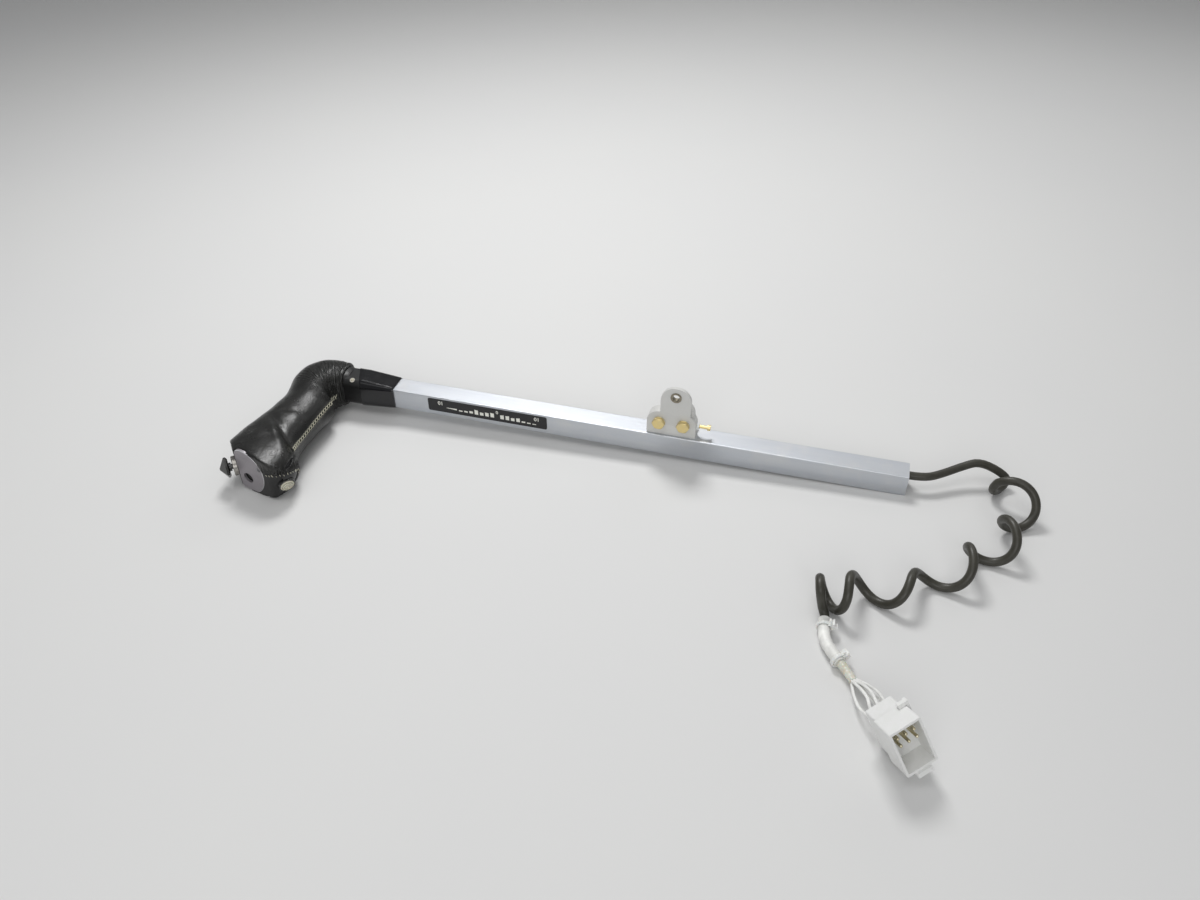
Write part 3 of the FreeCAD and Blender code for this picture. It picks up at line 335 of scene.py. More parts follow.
def make_cream():
    s = Shader("cream_plastic", (0.82, 0.80, 0.68), 0.3, Subsurface_Weight=0.12,
               Subsurface_Radius=(0.004, 0.003, 0.0018), Subsurface_Scale=0.4)
    s.tint(s.spots(260.0), (0.70, 0.66, 0.50), amount=0.6)
    axis = JOINTS["talk_button_push"]["axis"]
    across = s.vector("CROSS_PRODUCT", s.offset(middle_at("talk_button")), axis)
    from_axis = s.vector("LENGTH", across, out="Value")
    ring = s.math("SINE", s.math("MULTIPLY", from_axis, RING_WAVES))
    # Painted shade: darker cream in the grooves between the rings that the bump below cuts
    s.tint(s.ramp(ring, 0.0, 0.35, start=1.0, end=0.0), (0.42, 0.39, 0.29), amount=0.6)
    s.bump(ring, depth=0.0004, strength=1.0)
    s.polish(400.0, low=0.27, high=0.42)
    s.grain(1500.0, depth=0.00004, strength=0.5)
    return s.done()


def make_nylon():
    s = Shader("natural_nylon", (0.83, 0.83, 0.82), 0.38, Subsurface_Weight=0.2,
               Subsurface_Radius=(0.003, 0.003, 0.003), Subsurface_Scale=0.6)
    s.tint(s.spots(210.0), (0.78, 0.79, 0.76), amount=0.6)
    s.polish(260.0, low=0.32, high=0.5)
    s.grain(700.0, depth=0.0001, strength=0.4)
    return s.done()


LOOKS = {
    "tube": make_aluminium(),
    "collar": make_gloss_black(),
    "leather": make_leather("black_leather", (0.008, 0.008, 0.007), 0.27, 1.0, wrinkled=True),
    "cap": make_leather("cap_leather", (0.004, 0.004, 0.004), 0.33, 0.6),
    "thread": make_thread(),
    "plate": make_plate_metal(),
    "steel": make_metal("dark_steel", (0.22, 0.22, 0.23), 0.25, 0.45),
    "chrome": make_metal("chrome", (0.40, 0.38, 0.35), 0.24, 0.36, 700.0,
                         second=(0.33, 0.32, 0.30), marks=0.00002),
    "gold": make_metal("yellow_passivated", (0.82, 0.66, 0.30), 0.22, 0.4, 900.0,
                       second=(0.74, 0.62, 0.36)),
    "zinc": make_metal("zinc_plated", (0.78, 0.75, 0.66), 0.28, 0.45),
    "bronze": make_metal("bush_bronze", (0.30, 0.27, 0.21), 0.3, 0.5),
    "rivet": make_metal("rivet_aluminium", (0.78, 0.78, 0.78), 0.3, 0.5),
    "pin": make_metal("pin_plating", (0.72, 0.64, 0.42), 0.2, 0.38, 1400.0,
                      second=(0.70, 0.68, 0.58)),
    "black": make_plastic("black_plastic", (0.007, 0.007, 0.007), 0.36, 1200.0),
    "hat": make_plastic("hat_plastic", (0.013, 0.013, 0.011), 0.2, depth=0.00004,
                        Coat_Weight=0.5, Coat_Roughness=0.1),
    "button": make_plastic("button_plastic", (0.02, 0.02, 0.02), 0.38),
    "bezel": make_plastic("bezel_plastic", (0.012, 0.012, 0.012), 0.22, Coat_Weight=0.4,
                          Coat_Roughness=0.12),
    "scale": make_plastic("scale_black", (0.010, 0.010, 0.011), 0.42, 1500.0),
    "mark": make_plastic("scale_white", (0.80, 0.80, 0.74), 0.5, 2500.0, 0.00003),
    "paint": make_white_paint(),
    "cream": make_cream(),
    "white": make_plastic("white_nylon", (0.80, 0.80, 0.77), 0.42, Subsurface_Weight=0.1),
    "cord": make_rubber("cord_rubber", (0.040, 0.038, 0.029), 0.4),
    "sleeve": make_rubber("white_sleeve", (0.76, 0.76, 0.73), 0.42, ribs=0.0001),
    "splice": make_plastic("splice_tape", (0.74, 0.72, 0.65), 0.3, 500.0, 0.0002,
                           second=(0.50, 0.43, 0.29), Subsurface_Weight=0.2),
    "wire": make_rubber("wire_insulation", (0.78, 0.78, 0.76), 0.36),
    "nylon": make_nylon(),
}

WORN_BY = {
    "tube": "yoke_tube",
    "collar": "neck_collar",
    "zinc": "neck_screw bracket_washers",
    "black": "grip_core_upper grip_core_lower press_switch talk_switch hat_switch cord_clip",
    "steel": "core_screws plate_screw",
    "leather": "leather_wrap",
    "cap": "leather_cap",
    "plate": "top_plate",
    "button": "press_button",
    "bezel": "talk_bezel",
    "cream": "talk_button",
    "chrome": "hat_ring",
    "hat": "hat_gimbal hat_knob",
    "scale": "trim_scale",
    "paint": "link_plate bracket_base",
    "bronze": "link_bush",
    "gold": "stop_screw bracket_bolts bracket_nuts",
    "white": "stop_nut cable_ties",
    "rivet": "bracket_rivets",
    "cord": "inner_cable cord_lead cord_curl",
    "sleeve": "white_sleeve",
    "splice": "wire_splice",
    "wire": "plug_wires",
    "nylon": "plug_housing",
    "pin": "plug_pins",
}
# Worn edges, in mm
BEVELS = {
    "top_plate": 0.15, "hat_knob": 0.8, "link_plate": 0.4, "bracket_base": 0.4,
    "plug_housing": 0.3, "bracket_bolts": 0.2, "bracket_nuts": 0.2, "stop_nut": 0.3,
    "stop_screw": 0.15, "neck_collar": 0.25, "yoke_tube": 0.15,
}
BEVEL_STEPS, BEVEL_FROM = 2, math.radians(38)

for look, nodes in WORN_BY.items():
    for node in nodes.split():
        NODES[node].data.materials.clear()
        NODES[node].data.materials.append(LOOKS[look])
for node, wide in BEVELS.items():
    bevel = NODES[node].modifiers.new("worn_edges", "BEVEL")
    bevel.width = wide * MM
    bevel.segments = BEVEL_STEPS
    bevel.limit_method = "ANGLE"
    bevel.angle_limit = BEVEL_FROM
    bevel.harden_normals = True


# Camera, light and floor

CAMERA_AT = (-79.6, -620.0, 497.4)
CAMERA_FORWARD = (-0.2118, 0.7471, -0.63)
CAMERA_RIGHT = (0.9626, 0.271, -0.0022)
PHOTO_WIDE, FOCAL_PIXELS, SENSOR = 1200, 950.0, 36.0
CLIP_NEAR, CLIP_FAR = 0.01, 30
FLOOR_REACH, FLOOR_CURVE, FLOOR_WALL, FLOOR_STEPS = 2.2, 0.5, 1.6, 12
WORLD_COLOUR, WORLD_LIGHT = (0.94, 0.95, 0.97, 1), 0.27
# Lamps: place, target, size in metres, and watts
LAMPS = {
    "key": ((-0.3, 0.72, 1.25), (-0.13, 0.0, 0), (0.5, 0.36), 11.5),
    "back_strip": ((0.6, 1.25, 0.85), (0.1, 0.0, 0.0), (1.3, 0.5), 1.6),
    "overhead": ((-0.1, -0.3, 1.4), (0.0, -0.05, 0), (0.9, 0.9), 4.0),
    "fill": ((0.3, -1.5, 0.9), (0.05, 0.1, 0.1), (1.3, 0.8), 8.0),
}


def add_camera():
    data = bpy.data.cameras.new("camera")
    data.sensor_width = SENSOR
    data.lens = FOCAL_PIXELS / PHOTO_WIDE * SENSOR
    data.clip_start, data.clip_end = CLIP_NEAR, CLIP_FAR
    camera = new_object("camera", data)
    forward = aim(*CAMERA_FORWARD).normalized()
    right = aim(*CAMERA_RIGHT).normalized()
    up = right.cross(forward).normalized()
    turn = Matrix((right, up, -forward)).transposed().to_4x4()
    camera.matrix_world = Matrix.Translation(place(*CAMERA_AT)) @ turn
    bpy.context.scene.camera = camera


def add_lamp(name, at, target, size, watts):
    data = bpy.data.lights.new(name, "AREA")
    data.shape = "RECTANGLE"
    data.size, data.size_y = size
    data.energy = watts
    lamp = new_object(name, data)
    lamp.location = at
    lamp.rotation_euler = (Vector(target) - Vector(at)).to_track_quat("-Z", "Y").to_euler()


def add_stage():
    """Floor that curves up into a wall behind."""
    turns = [math.radians(90 * k / FLOOR_STEPS) for k in range(1, FLOOR_STEPS + 1)]
    bend = FLOOR_REACH - FLOOR_CURVE
    profile = [(-FLOOR_REACH, 0.0), (bend, 0.0)]
    profile += [(bend + FLOOR_CURVE * math.sin(a), FLOOR_CURVE - FLOOR_CURVE * math.cos(a))
                for a in turns]
    profile.append((FLOOR_REACH, FLOOR_WALL))
    vertices = [(x, y, z) for y, z in profile for x in (-2 * FLOOR_REACH, 2 * FLOOR_REACH)]
    faces = [(2 * k, 2 * k + 1, 2 * k + 3, 2 * k + 2) for k in range(len(profile) - 1)]
    mesh = bpy.data.meshes.new("floor")
    mesh.from_pydata(vertices, [], faces)
    mesh.shade_smooth()
    s = Shader("pale_floor", (0.72, 0.72, 0.71), 0.7)
    s.tint(s.spots(3.0), (0.70, 0.70, 0.70), amount=0.5)
    mesh.materials.append(s.done())
    new_object("floor", mesh)


add_camera()
add_stage()
for name, values in LAMPS.items():
    add_lamp(name, *values)
world = bpy.data.worlds.new("studio")
world.use_nodes = True
background = world.node_tree.nodes["Background"].inputs
background["Color"].default_value = WORLD_COLOUR
background["Strength"].default_value = WORLD_LIGHT
bpy.context.scene.world = world
bpy.context.scene.view_settings.view_transform = "Standard"


# Cords, in mm along the world's axes. The lead starts at the tube's mouth, the other routes at
# the floor below it.

EXIT_UP = 4.3
CORNER = Vector((SHIFT.x, SHIFT.y, 0))
MOUTH = LEAN @ Vector((0, 0, EXIT_UP)) + SHIFT
CORD_RADIUS, SLEEVE_RADIUS, SPLICE_RADIUS, WIRE_RADIUS, TIE_THICK = 3.3, 4.4, 3.4, 1.0, 1.1
LEAD_ROUTE = [(0, 0, 0), (13, 0, -0.3), (26, 8, 0.4), (41, 17.5, 3.4), (54, 22.5, 7.2)]
CURL_ROUTE = [(64, 22), (77.5, 4), (84.5, -22), (79, -47), (62, -70), (43.5, -93), (19, -114),
              (-12, -131), (-38, -142), (-60, -150)]
# Turns of the curl: share of its length, phase in degrees (90 is on top, and it goes down),
# and radius of the strand's centre line
CURL_KEYS = [(0.0, 84, 11.5), (0.08, -204, 11.5), (0.2, -395, 11.8), (0.35, -664, 11.5),
             (0.5, -961, 11.2), (0.65, -1235, 8.6), (0.72, -1350, 9.4), (0.905, -1710, 12.6),
             (0.985, -2070, 12.6), (1.0, -2150, 12.0)]
CURL_STEPS, CURL_FROM = 100, 3
CURL_TAIL = [(-52.5, -153.5, 9.5), (-49.6, -157.5, 5.8), (-49.5, -162.5, 5.5)]
SLEEVE_ROUTE = [(-49.5, -161), (-49.8, -173), (-45.5, -184.5), (-36.5, -195.5)]
SPLICE_ROUTE = [(-36.5, -195.5), (-31.5, -201.6), (-27, -208.5)]
# The sleeve's flared ends and where the ties pinch it: share, half width and height in mm
SLEEVE_WAVES = [(0.0, 0.05, 0.35), (1.0, 0.05, 0.2), (0.16, 0.03, -0.3), (0.94, 0.03, -0.3)]
SLEEVE_SHRINK, SLEEVE_RIPPLE, SLEEVE_SEED, SLEEVE_SIDES = 0.35, 0.12, 0.4, 28
TAPE_SHRINK, TAPE_RIPPLE, TAPE_SEED, TAPE_SIDES, TAPE_TAPER, TAPE_FLAT = 0.1, 0.2, 2, 32, 0.4, 0.9
FRAY, FRAY_FROM, FRAY_POINTS = 0.35, 0.8, 7
LONG_WAVES, SHORT_WAVES, SHORT_SHARE = 37, 71, 0.6
# Angles in degrees at which an edge is sharp
SLEEVE_SHARP, TIE_SHARP = 50, 35
CURVE_ORDER, CURVE_SIDES, BOX_STEPS = 3, 5, 3
CORD_STEPS, WIRE_STEPS, ROUTE_STEPS, LINE_STEPS = 5, 10, 14, 12

WIRE_MIDDLES = [(-19, -222, 14), (-17, -219, 16), (-14, -216, 13), (-25, -228, 6),
                (-16.5, -220, 10), (-11.5, -218, 8)]
WIRE_BEFORE, WIRE_INSIDE = 3.5, 8
PLUG_AT = Vector((272.71, -184.74, 1.22))
PLUG_MOUTH = Vector((0.488, -0.774, 0.404)).normalized()
PLUG_UP = Vector((-0.473, 0.155, 0.867)).normalized()
PLUG_SIDE = PLUG_UP.cross(PLUG_MOUTH).normalized()
PLUG_TALL, PIN_PITCH = 32.6, 5.6
PIN_PLACES = ((-1, 1.5), (0, 1.5), (1, 1.5), (-1, 0.5), (0, 0.5), (1, 0.5))

# Cable ties: shares of the sleeve, lift of the lock in radians, the band's section, and half
# sizes of the lock, the cut tail and the teeth along the way out, across and along the sleeve
TIE_PLACES, TIE_LIFT, TIE_STEPS = (0.158, 0.94), 0.5, 48
TIE_BAND = [(-0.05, -1.2), (0.95, -1.2), (1.05, -1.0), (1.05, 1.0), (0.95, 1.2), (-0.05, 1.2)]
LOCK_OUT, LOCK_HALF, LOCK_ROUND = 2.0, (1.9, 2.3, 2.1), 0.5
TAIL_OUT, TAIL_ACROSS, TAIL_HALF, TAIL_ROUND = 2.3, 3.3, (0.5, 1.7, 1.1), 0.2
TOOTH_OUT, TOOTH_HALF, TOOTH_ROUND = 1.08, (0.12, 0.28, 0.75), 0.06
TEETH, TOOTH_FIRST, TOOTH_STEP = 14, 45, 19


def add_object(name, data, look, replaces=(), at=Matrix()):
    """Piece of the scene that rides the yoke."""
    made = new_object(name, data)
    data.materials.append(LOOKS[look])
    made.matrix_world = at
    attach(made, "yoke")
    if replaces:
        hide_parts(*replaces)
    return made


def nurbs(name, points, radius, steps):
    """Smooth curve with the points, in mm, as its control points."""
    data = bpy.data.curves.new(name, "CURVE")
    data.dimensions = "3D"
    data.resolution_u = steps
    spline = data.splines.new("NURBS")
    spline.points.add(len(points) - 1)
    for point, at in zip(spline.points, points):
        point.co = (*(Vector(at) * MM), 1)
    spline.order_u = CURVE_ORDER
    spline.use_endpoint_u = True
    data.bevel_depth = radius * MM
    data.bevel_resolution = CURVE_SIDES
    data.use_fill_caps = radius > 0
    return data


def line_of(points, steps=LINE_STEPS):
    """Points in mm read from the smooth curve."""
    curve = new_object("reader", nurbs("reader", points, 0.0, steps))
    bpy.context.view_layer.update()
    mesh = bpy.data.meshes.new_from_object(curve)
    line = [vertex.co / MM for vertex in mesh.vertices]
    bpy.data.objects.remove(curve)
    return line


def length_of(points):
    return sum((b - a).length for a, b in zip(points, points[1:]))


def on_floor(route, height):
    return [CORNER + Vector((x, y, height)) for x, y in route]


def along(line, share):
    """Point and heading at a share of a line's length."""
    left = share * length_of(line)
    for a, b in zip(line, line[1:]):
        step = (b - a).length
        if left <= step:
            return a + (b - a) * (left / step), (b - a).normalized()
        left -= step
    return line[-1].copy(), (line[-1] - line[-2]).normalized()


def bell(value, wide):
    return np.exp(-((value / wide) ** 2))


def waves(value, rows):
    """Ridges and grooves, each with its place, half width and height."""
    return sum(tall * bell(value - at, wide) for at, wide, tall in rows)


def curl_strand():
    """Control points of the curled stretch, round points read from its route."""
    line = line_of(on_floor(CURL_ROUTE, 0))
    shares, phases, radii = zip(*CURL_KEYS)
    points = []
    for step in range(CURL_FROM, CURL_STEPS):
        share = step / CURL_STEPS
        centre, heading = along(line, share)
        left = Vector((-heading.y, heading.x, 0))
        phase = math.radians(np.interp(share, shares, phases))
        radius = float(np.interp(share, shares, radii))
        rise = CORD_RADIUS + radius * (1 + math.sin(phase))
        points.append(centre + left * (radius * math.cos(phase)) + Vector((0, 0, rise)))
    return points


def add_cord():
    lead = [MOUTH + Vector(point) for point in LEAD_ROUTE]
    tail = [CORNER + Vector(point) for point in CURL_TAIL]
    points = lead + curl_strand() + tail
    data = nurbs("curly_cord", points, CORD_RADIUS, CORD_STEPS)
    cord = add_object("curly_cord", data, "cord", ("cord_lead", "cord_curl"))
    return cord, length_of(line_of(points, CORD_STEPS)) * MM


def add_tube(work, line, up, radius_at, sides, flat=1.0):
    """Closed tube round a line in mm, with a radius for each share and angle."""
    rings = []
    total, gone = length_of(line), 0.0
    for number, point in enumerate(line):
        ahead = line[min(number + 1, len(line) - 1)] - line[max(number - 1, 0)]
        heading = ahead.normalized()
        side = heading.cross(up).normalized()
        top = side.cross(heading)
        ring = []
        for k in range(sides):
            angle = 2 * math.pi * k / sides
            reach = radius_at(gone / total, angle)
            offset = side * (math.cos(angle) * reach) + top * (math.sin(angle) * reach * flat)
            ring.append(work.verts.new((point + offset) * MM))
        rings.append(ring)
        if number + 1 < len(line):
            gone += (line[number + 1] - point).length
    for low, high in zip(rings, rings[1:]):
        for k in range(sides):
            j = (k + 1) % sides
            work.faces.new((low[k], low[j], high[j], high[k]))
    work.faces.new(reversed(rings[0]))
    work.faces.new(rings[-1])


def ripple(share, angle, seed):
    """Slow waves for shrunk and taped sleeves."""
    long = math.sin(LONG_WAVES * share + seed + 2 * math.sin(angle))
    short = math.sin(SHORT_WAVES * share - 3 * angle + seed)
    return (long + SHORT_SHARE * short) / (1 + SHORT_SHARE)


def sleeve_radius(share, angle):
    plain = SLEEVE_RADIUS - SLEEVE_SHRINK + waves(share, SLEEVE_WAVES)
    return plain + SLEEVE_RIPPLE * ripple(share, angle, SLEEVE_SEED)


def tape_radius(share, angle):
    fray = FRAY * max(0.0, share - FRAY_FROM) / (1 - FRAY_FROM) * math.sin(FRAY_POINTS * angle)
    plain = SPLICE_RADIUS - TAPE_SHRINK - TAPE_TAPER * share
    return plain + TAPE_RIPPLE * ripple(share, angle, TAPE_SEED) + fray


def add_sleeve(name, route, radius_at, look, replaces, sides, flat):
    line = line_of(on_floor(route, SLEEVE_RADIUS + TIE_THICK), ROUTE_STEPS)
    work = bmesh.new()
    add_tube(work, line, Vector((0, 0, 1)), radius_at, sides, flat)
    bmesh.ops.recalc_face_normals(work, faces=work.faces)
    mesh = mesh_of(work, name)
    smooth_by_angle(mesh, SLEEVE_SHARP)
    return add_object(name, mesh, look, (replaces,)), line


def add_band(work, centre, axis, side, profile):
    """Turn a closed profile of (reach, height) round an axis."""
    up = axis.cross(side)
    rings = []
    for k in range(TIE_STEPS):
        angle = 2 * math.pi * k / TIE_STEPS
        way = side * math.cos(angle) + up * math.sin(angle)
        rings.append([work.verts.new((centre + way * reach + axis * height) * MM)
                      for reach, height in profile])
    for here, there in zip(rings, rings[1:] + rings[:1]):
        for j in range(len(profile)):
            i = (j + 1) % len(profile)
            work.faces.new((here[j], there[j], there[i], here[i]))


def rounded_box(work, centre, axes, halves, round_by):
    """Box with rounded edges on three axes."""
    corners = bmesh.ops.create_cube(work, size=2.0)["verts"]
    turn = Matrix(axes).transposed()
    for vertex in corners:
        local = Vector([at * half for at, half in zip(vertex.co, halves)])
        vertex.co = (centre + turn @ local) * MM
    edges = list({edge for vertex in corners for edge in vertex.link_edges})
    bmesh.ops.bevel(work, geom=edges, offset=round_by * MM, segments=BOX_STEPS,
                    affect="EDGES", profile=0.5)


def add_ties(line):
    """Cable ties: band with small teeth, lock, and the cut tail."""
    work = bmesh.new()
    band = [(SLEEVE_RADIUS + reach, height) for reach, height in TIE_BAND]
    for share in TIE_PLACES:
        centre, heading = along(line, share)
        side = Vector((0, 0, 1)).cross(heading).normalized()
        up = heading.cross(side)
        way = (side * math.cos(TIE_LIFT) + up * math.sin(TIE_LIFT)).normalized()
        across = heading.cross(way)
        axes = (way, across, heading)
        add_band(work, centre, heading, way, band)
        rounded_box(work, centre + way * (SLEEVE_RADIUS + LOCK_OUT), axes, LOCK_HALF, LOCK_ROUND)
        tail_at = centre + way * (SLEEVE_RADIUS + TAIL_OUT) + across * TAIL_ACROSS
        rounded_box(work, tail_at, axes, TAIL_HALF, TAIL_ROUND)
        for tooth in range(TEETH):
            angle = math.radians(TOOTH_FIRST + TOOTH_STEP * tooth)
            out = way * math.cos(angle) + across * math.sin(angle)
            rounded_box(work, centre + out * (SLEEVE_RADIUS + TOOTH_OUT),
                        (out, heading.cross(out), heading), TOOTH_HALF, TOOTH_ROUND)
    mesh = mesh_of(work, "cable_tie_set")
    smooth_by_angle(mesh, TIE_SHARP)
    return add_object("cable_tie_set", mesh, "white", ("cable_ties",))


def plug_point(out, side, up):
    return PLUG_AT + PLUG_MOUTH * out + PLUG_SIDE * side + PLUG_UP * up


def add_wires():
    start_at = CORNER + Vector((*SPLICE_ROUTE[-1], SLEEVE_RADIUS + TIE_THICK))
    made = []
    for number, ((column, row), middle) in enumerate(zip(PIN_PLACES, WIRE_MIDDLES)):
        start = start_at + Vector((column, column, 2 * row - 2)) * WIRE_RADIUS
        side, up = column * PIN_PITCH, PLUG_TALL / 2 + row * PIN_PITCH
        points = [start, CORNER + Vector(middle), plug_point(-WIRE_BEFORE, side, up),
                  plug_point(WIRE_INSIDE, side, up)]
        name = "plug_wire_%d" % (number + 1)
        data = nurbs(name, points, WIRE_RADIUS, WIRE_STEPS)
        wire = add_object(name, data, "wire",
                          ("plug_wires",) if number == 0 else ())
        made.append((wire, start, length_of(line_of(points, WIRE_STEPS)) * MM))
    return made


cord, cord_length = add_cord()
sleeve, sleeve_line = add_sleeve("white_sleeve_tube", SLEEVE_ROUTE, sleeve_radius, "sleeve",
                                 "white_sleeve", SLEEVE_SIDES, 1.0)
splice, _ = add_sleeve("splice_tape", SPLICE_ROUTE, tape_radius, "splice",
                       "wire_splice", TAPE_SIDES, TAPE_FLAT)
ties = add_ties(sleeve_line)
wires = add_wires()


# Leather. Places are in the yoke's own frame in mm.

# The grip's middle line: how far it is from the elbow's inner corner, by turn in degrees round
# the elbow and by place along the grip
GRIP_CORNER = np.array([-487.0, -36.0])
FAN_MIDDLE = ([0, 14, 32, 50, 72, 90], [36, 38, 38, 35, 28, 24])
DOWN_MIDDLE = ([-160, -144, -128, -114, -102, -88, -70, -52, -36],
               [20, 20.5, 21.5, 23.8, 27, 27.2, 25.5, 23.8, 24])
# Soft folds: both ends, half width and height; then how much of them shows at the grip's level
# and above it, the least of it, the height where it is full, and where they fade at the ends
FOLDS = [((-514, -90), (-486, -119), 4.2, 1.5), ((-521, -79), (-503, -94), 3.6, -1.1),
         ((-503, -94), (-481, -112), 3.2, -1.5), ((-526, -98), (-522, -122), 6.5, -0.9),
         ((-512, -60), (-497, -78), 5.5, 0.8), ((-517, -72), (-503, -69), 3.5, -0.8),
         ((-500, -126), (-488, -124), 6.0, 0.5)]
FOLD_LEVEL, FOLD_TOP, FOLD_LEAST, FOLD_RISE = 0.45, 0.55, 0.25, 8
FOLD_START, FOLD_SPAN = 0.05, 0.9
# The neck's hem: its line, where it ends, and its ridge and groove
HEM_X, HEM_SLANT, HEM_END = -492.0, 0.10, -25
HEM_WAVES = [(1.7, 1.3, 0.5), (4.4, 1.0, -0.4)]
PLEATS, PLEAT_STEP, FINE_PLEATS = 21, 3.1, 15
draw = random.Random(11).uniform
# Pleats round the elbow: turn and slant in degrees, half width, depth, middle reach and half
# length
PLEAT_LIST = [(4 + PLEAT_STEP * k + draw(-0.9, 0.9), draw(0.1, 0.5), draw(0.55, 0.9),
               draw(0.3, 0.62) * (1.0 - 0.6 * k / PLEATS), draw(30, 42), draw(7, 13))
              for k in range(PLEATS)]
PLEAT_LIST += [(draw(2, 60), draw(-0.3, 0.6), draw(0.5, 0.8), draw(0.2, 0.4), draw(16, 28),
                draw(5, 9)) for _ in range(FINE_PLEATS)]
# Turns at which pleats fade in and out, the least reach that counts, how they lean with the
# height, and a pleat's groove and the ridge beside it
PLEATS_IN, PLEATS_FULL, PLEATS_OUT, PLEATS_END = -12, 0, 80, 100
PLEAT_REACH, PLEAT_LEAN, GROOVE, RIDGE, RIDGE_AT = 12, 0.12, 1.2, 0.6, 1.7
# Slow waves: height, how fast they go along each axis, and how they wander
SLOW_WAVE, SLOW_X, SLOW_Y, SLOW_Z, SLOW_WANDER, SLOW_BEND = 0.22, 0.21, 0.16, 0.15, 1.7, 0.09
# The long seam on the grip's inner side, the groove that it draws, and the cap's seam round
# the head
LONG_SEAM = [(-493.0, -20.5, 0.5), (-490.5, -30.0, 4.0), (-488.8, -40.1, 6.7),
             (-489.1, -52.0, 6.6), (-489.5, -63.0, 5.9), (-489.8, -75.8, 4.8),
             (-489.5, -88.8, 4.4), (-487.8, -98.5, 6.2), (-485.3, -106.8, 8.6)]
SEAM_WAVES = [(0.0, 0.7, -0.5), (2.0, 0.9, 0.45)]
CAP_SEAM = [(-495.5, -139.3, 5.9), (-490.0, -139.9, 6.7), (-484.5, -138.6, 6.7),
            (-480.2, -134.6, 6.3), (-476.9, -131.0, 5.4), (-476.2, -125.0, 3.1),
            (-477.8, -119.0, -0.3), (-480.0, -113.6, -3.9), (-480.4, -112.8, -10.0)]
SEAM_PEAK, SEAM_TOP, SEAM_BEND = -138, 6.5, 0.0155
GATHER_PITCH, GATHER_AT, GATHER_REACH, GATHER_TALL, GATHER_FULL = 3.0, 1.2, 5.0, 0.75, 0.35
GATHER_WANDER, GATHER_SLOW = 0.9, 0.7
CAP_GATHERS, CAP_WAVE, CAP_X, CAP_Z = 0.3, 0.1, 0.33, 0.41
VOXEL, CAP_VOXEL, WELD = 0.7, 0.55, 0.01
SKIN_ROUNDS, CAP_ROUNDS, SOFTEN_SHARE = 4, 2, 0.5
HEAD_MIDDLE = -128.0
DRAPE_IN, DRAPE_OUT, DRAPE_FADE = -1.15, 1.7, 2.5
# The flap over the head's end: where it starts, its sides, how the faces under it lie, how far
# it keeps off plate and buttons, the least clear air over it, and how far its two sides stand
# off the surface
CAP_EDGE, FLAP_LEFT, FLAP_RIGHT, FLAP_TOP, FLAP_FACING = -112.5, -500, -486, 8.6, -0.5
FLAP_PIECES = ("grip_core_upper", "grip_core_lower", "leather_wrap", "leather_cap")
KEEP_OFF, KEEP_OFF_BY = ("top_plate", "talk_bezel", "hat_ring"), 0.9
AIR_FROM, AIR_TO = 0.2, 80.0
FLAP_OUT, FLAP_IN = 1.0, 0.4
# Stitches: pitch, half length and lean of a crossed pair, how far its threads stand off, the
# thread's radius, its ends' share of that, how deep they sink, and the cap stitches' reach
CROSS_PITCH, CROSS_HALF, CROSS_LEAN, CROSS_LIFT, CROSS_OVER = 3.3, 2.0, 0.42, 0.3, 0.12
THREAD, STRAND_END, THREAD_SUNK, THREAD_SIDES = 0.29, 0.5, 0.1, 8
THREAD_SHARES = (0, 0.25, 0.5, 0.75, 1)
CAP_STITCH_DOWN, CAP_STITCH_UP, CAP_STITCH_LEAN, CAP_STITCH_LIFT = 1.9, 0.4, 0.7, 0.25
WELT, WELT_OUT, WELT_SIDES, WELT_STEPS = 0.5, 0.1, 10, 6
WELT_UP = Vector((0.3, -0.5, 0.8))
# How far outside the leather a line to it starts, and the ways that such lines come from
CAST = 12.0
LONG_SEAM_WAY, CAP_MIDDLE = (0.88, -0.05, 0.47), (-489.0, -122.0, -1.0)


def to_yoke(points):
    """World metres to the yoke's own frame in mm."""
    turned = np.array(points) / MM - np.array(SHIFT)
    return turned @ np.array(LEAN)


def middle_of(yoke):
    """For each point, its place on the middle line, its turn and its reach from the corner."""
    dx, dy = yoke[:, 0] - GRIP_CORNER[0], yoke[:, 1] - GRIP_CORNER[1]
    angle = np.degrees(np.arctan2(-dx, dy))
    quarter = np.clip(angle, 0, 90)
    reach, turn = np.interp(quarter, *FAN_MIDDLE), np.radians(quarter)
    middle = np.stack([GRIP_CORNER[0] - reach * np.sin(turn),
                       GRIP_CORNER[1] + reach * np.cos(turn), 0 * reach], 1)
    in_neck, in_grip = dx > 0, dy < 0
    down = np.interp(yoke[in_grip, 1], *DOWN_MIDDLE)
    middle[in_grip] = np.stack([GRIP_CORNER[0] - down, yoke[in_grip, 1], 0 * down], 1)
    neck = in_neck & ~in_grip
    middle[neck] = yoke[neck] * [1, 0, 0]
    return middle, angle, np.hypot(dx, dy)


def nearest_along(points, a, b):
    """Distance to a straight line's nearest place, and that place's share of the line."""
    a, b = np.array(a, float), np.array(b, float)
    share = np.clip(((points - a) @ (b - a)) / ((b - a) @ (b - a)), 0, 1)
    return np.linalg.norm(points - a - share[:, None] * (b - a), axis=1), share


def near_path(yoke, path):
    """Distance to a path of points, and how far along it the nearest place is."""
    away, place_at, gone = np.full(len(yoke), 1e9), np.zeros(len(yoke)), 0.0
    for a, b in zip(path, path[1:]):
        here, share = nearest_along(yoke, a, b)
        long = math.dist(a, b)
        closer = here < away
        away[closer], place_at[closer] = here[closer], gone + share[closer] * long
        gone += long
    return away, place_at


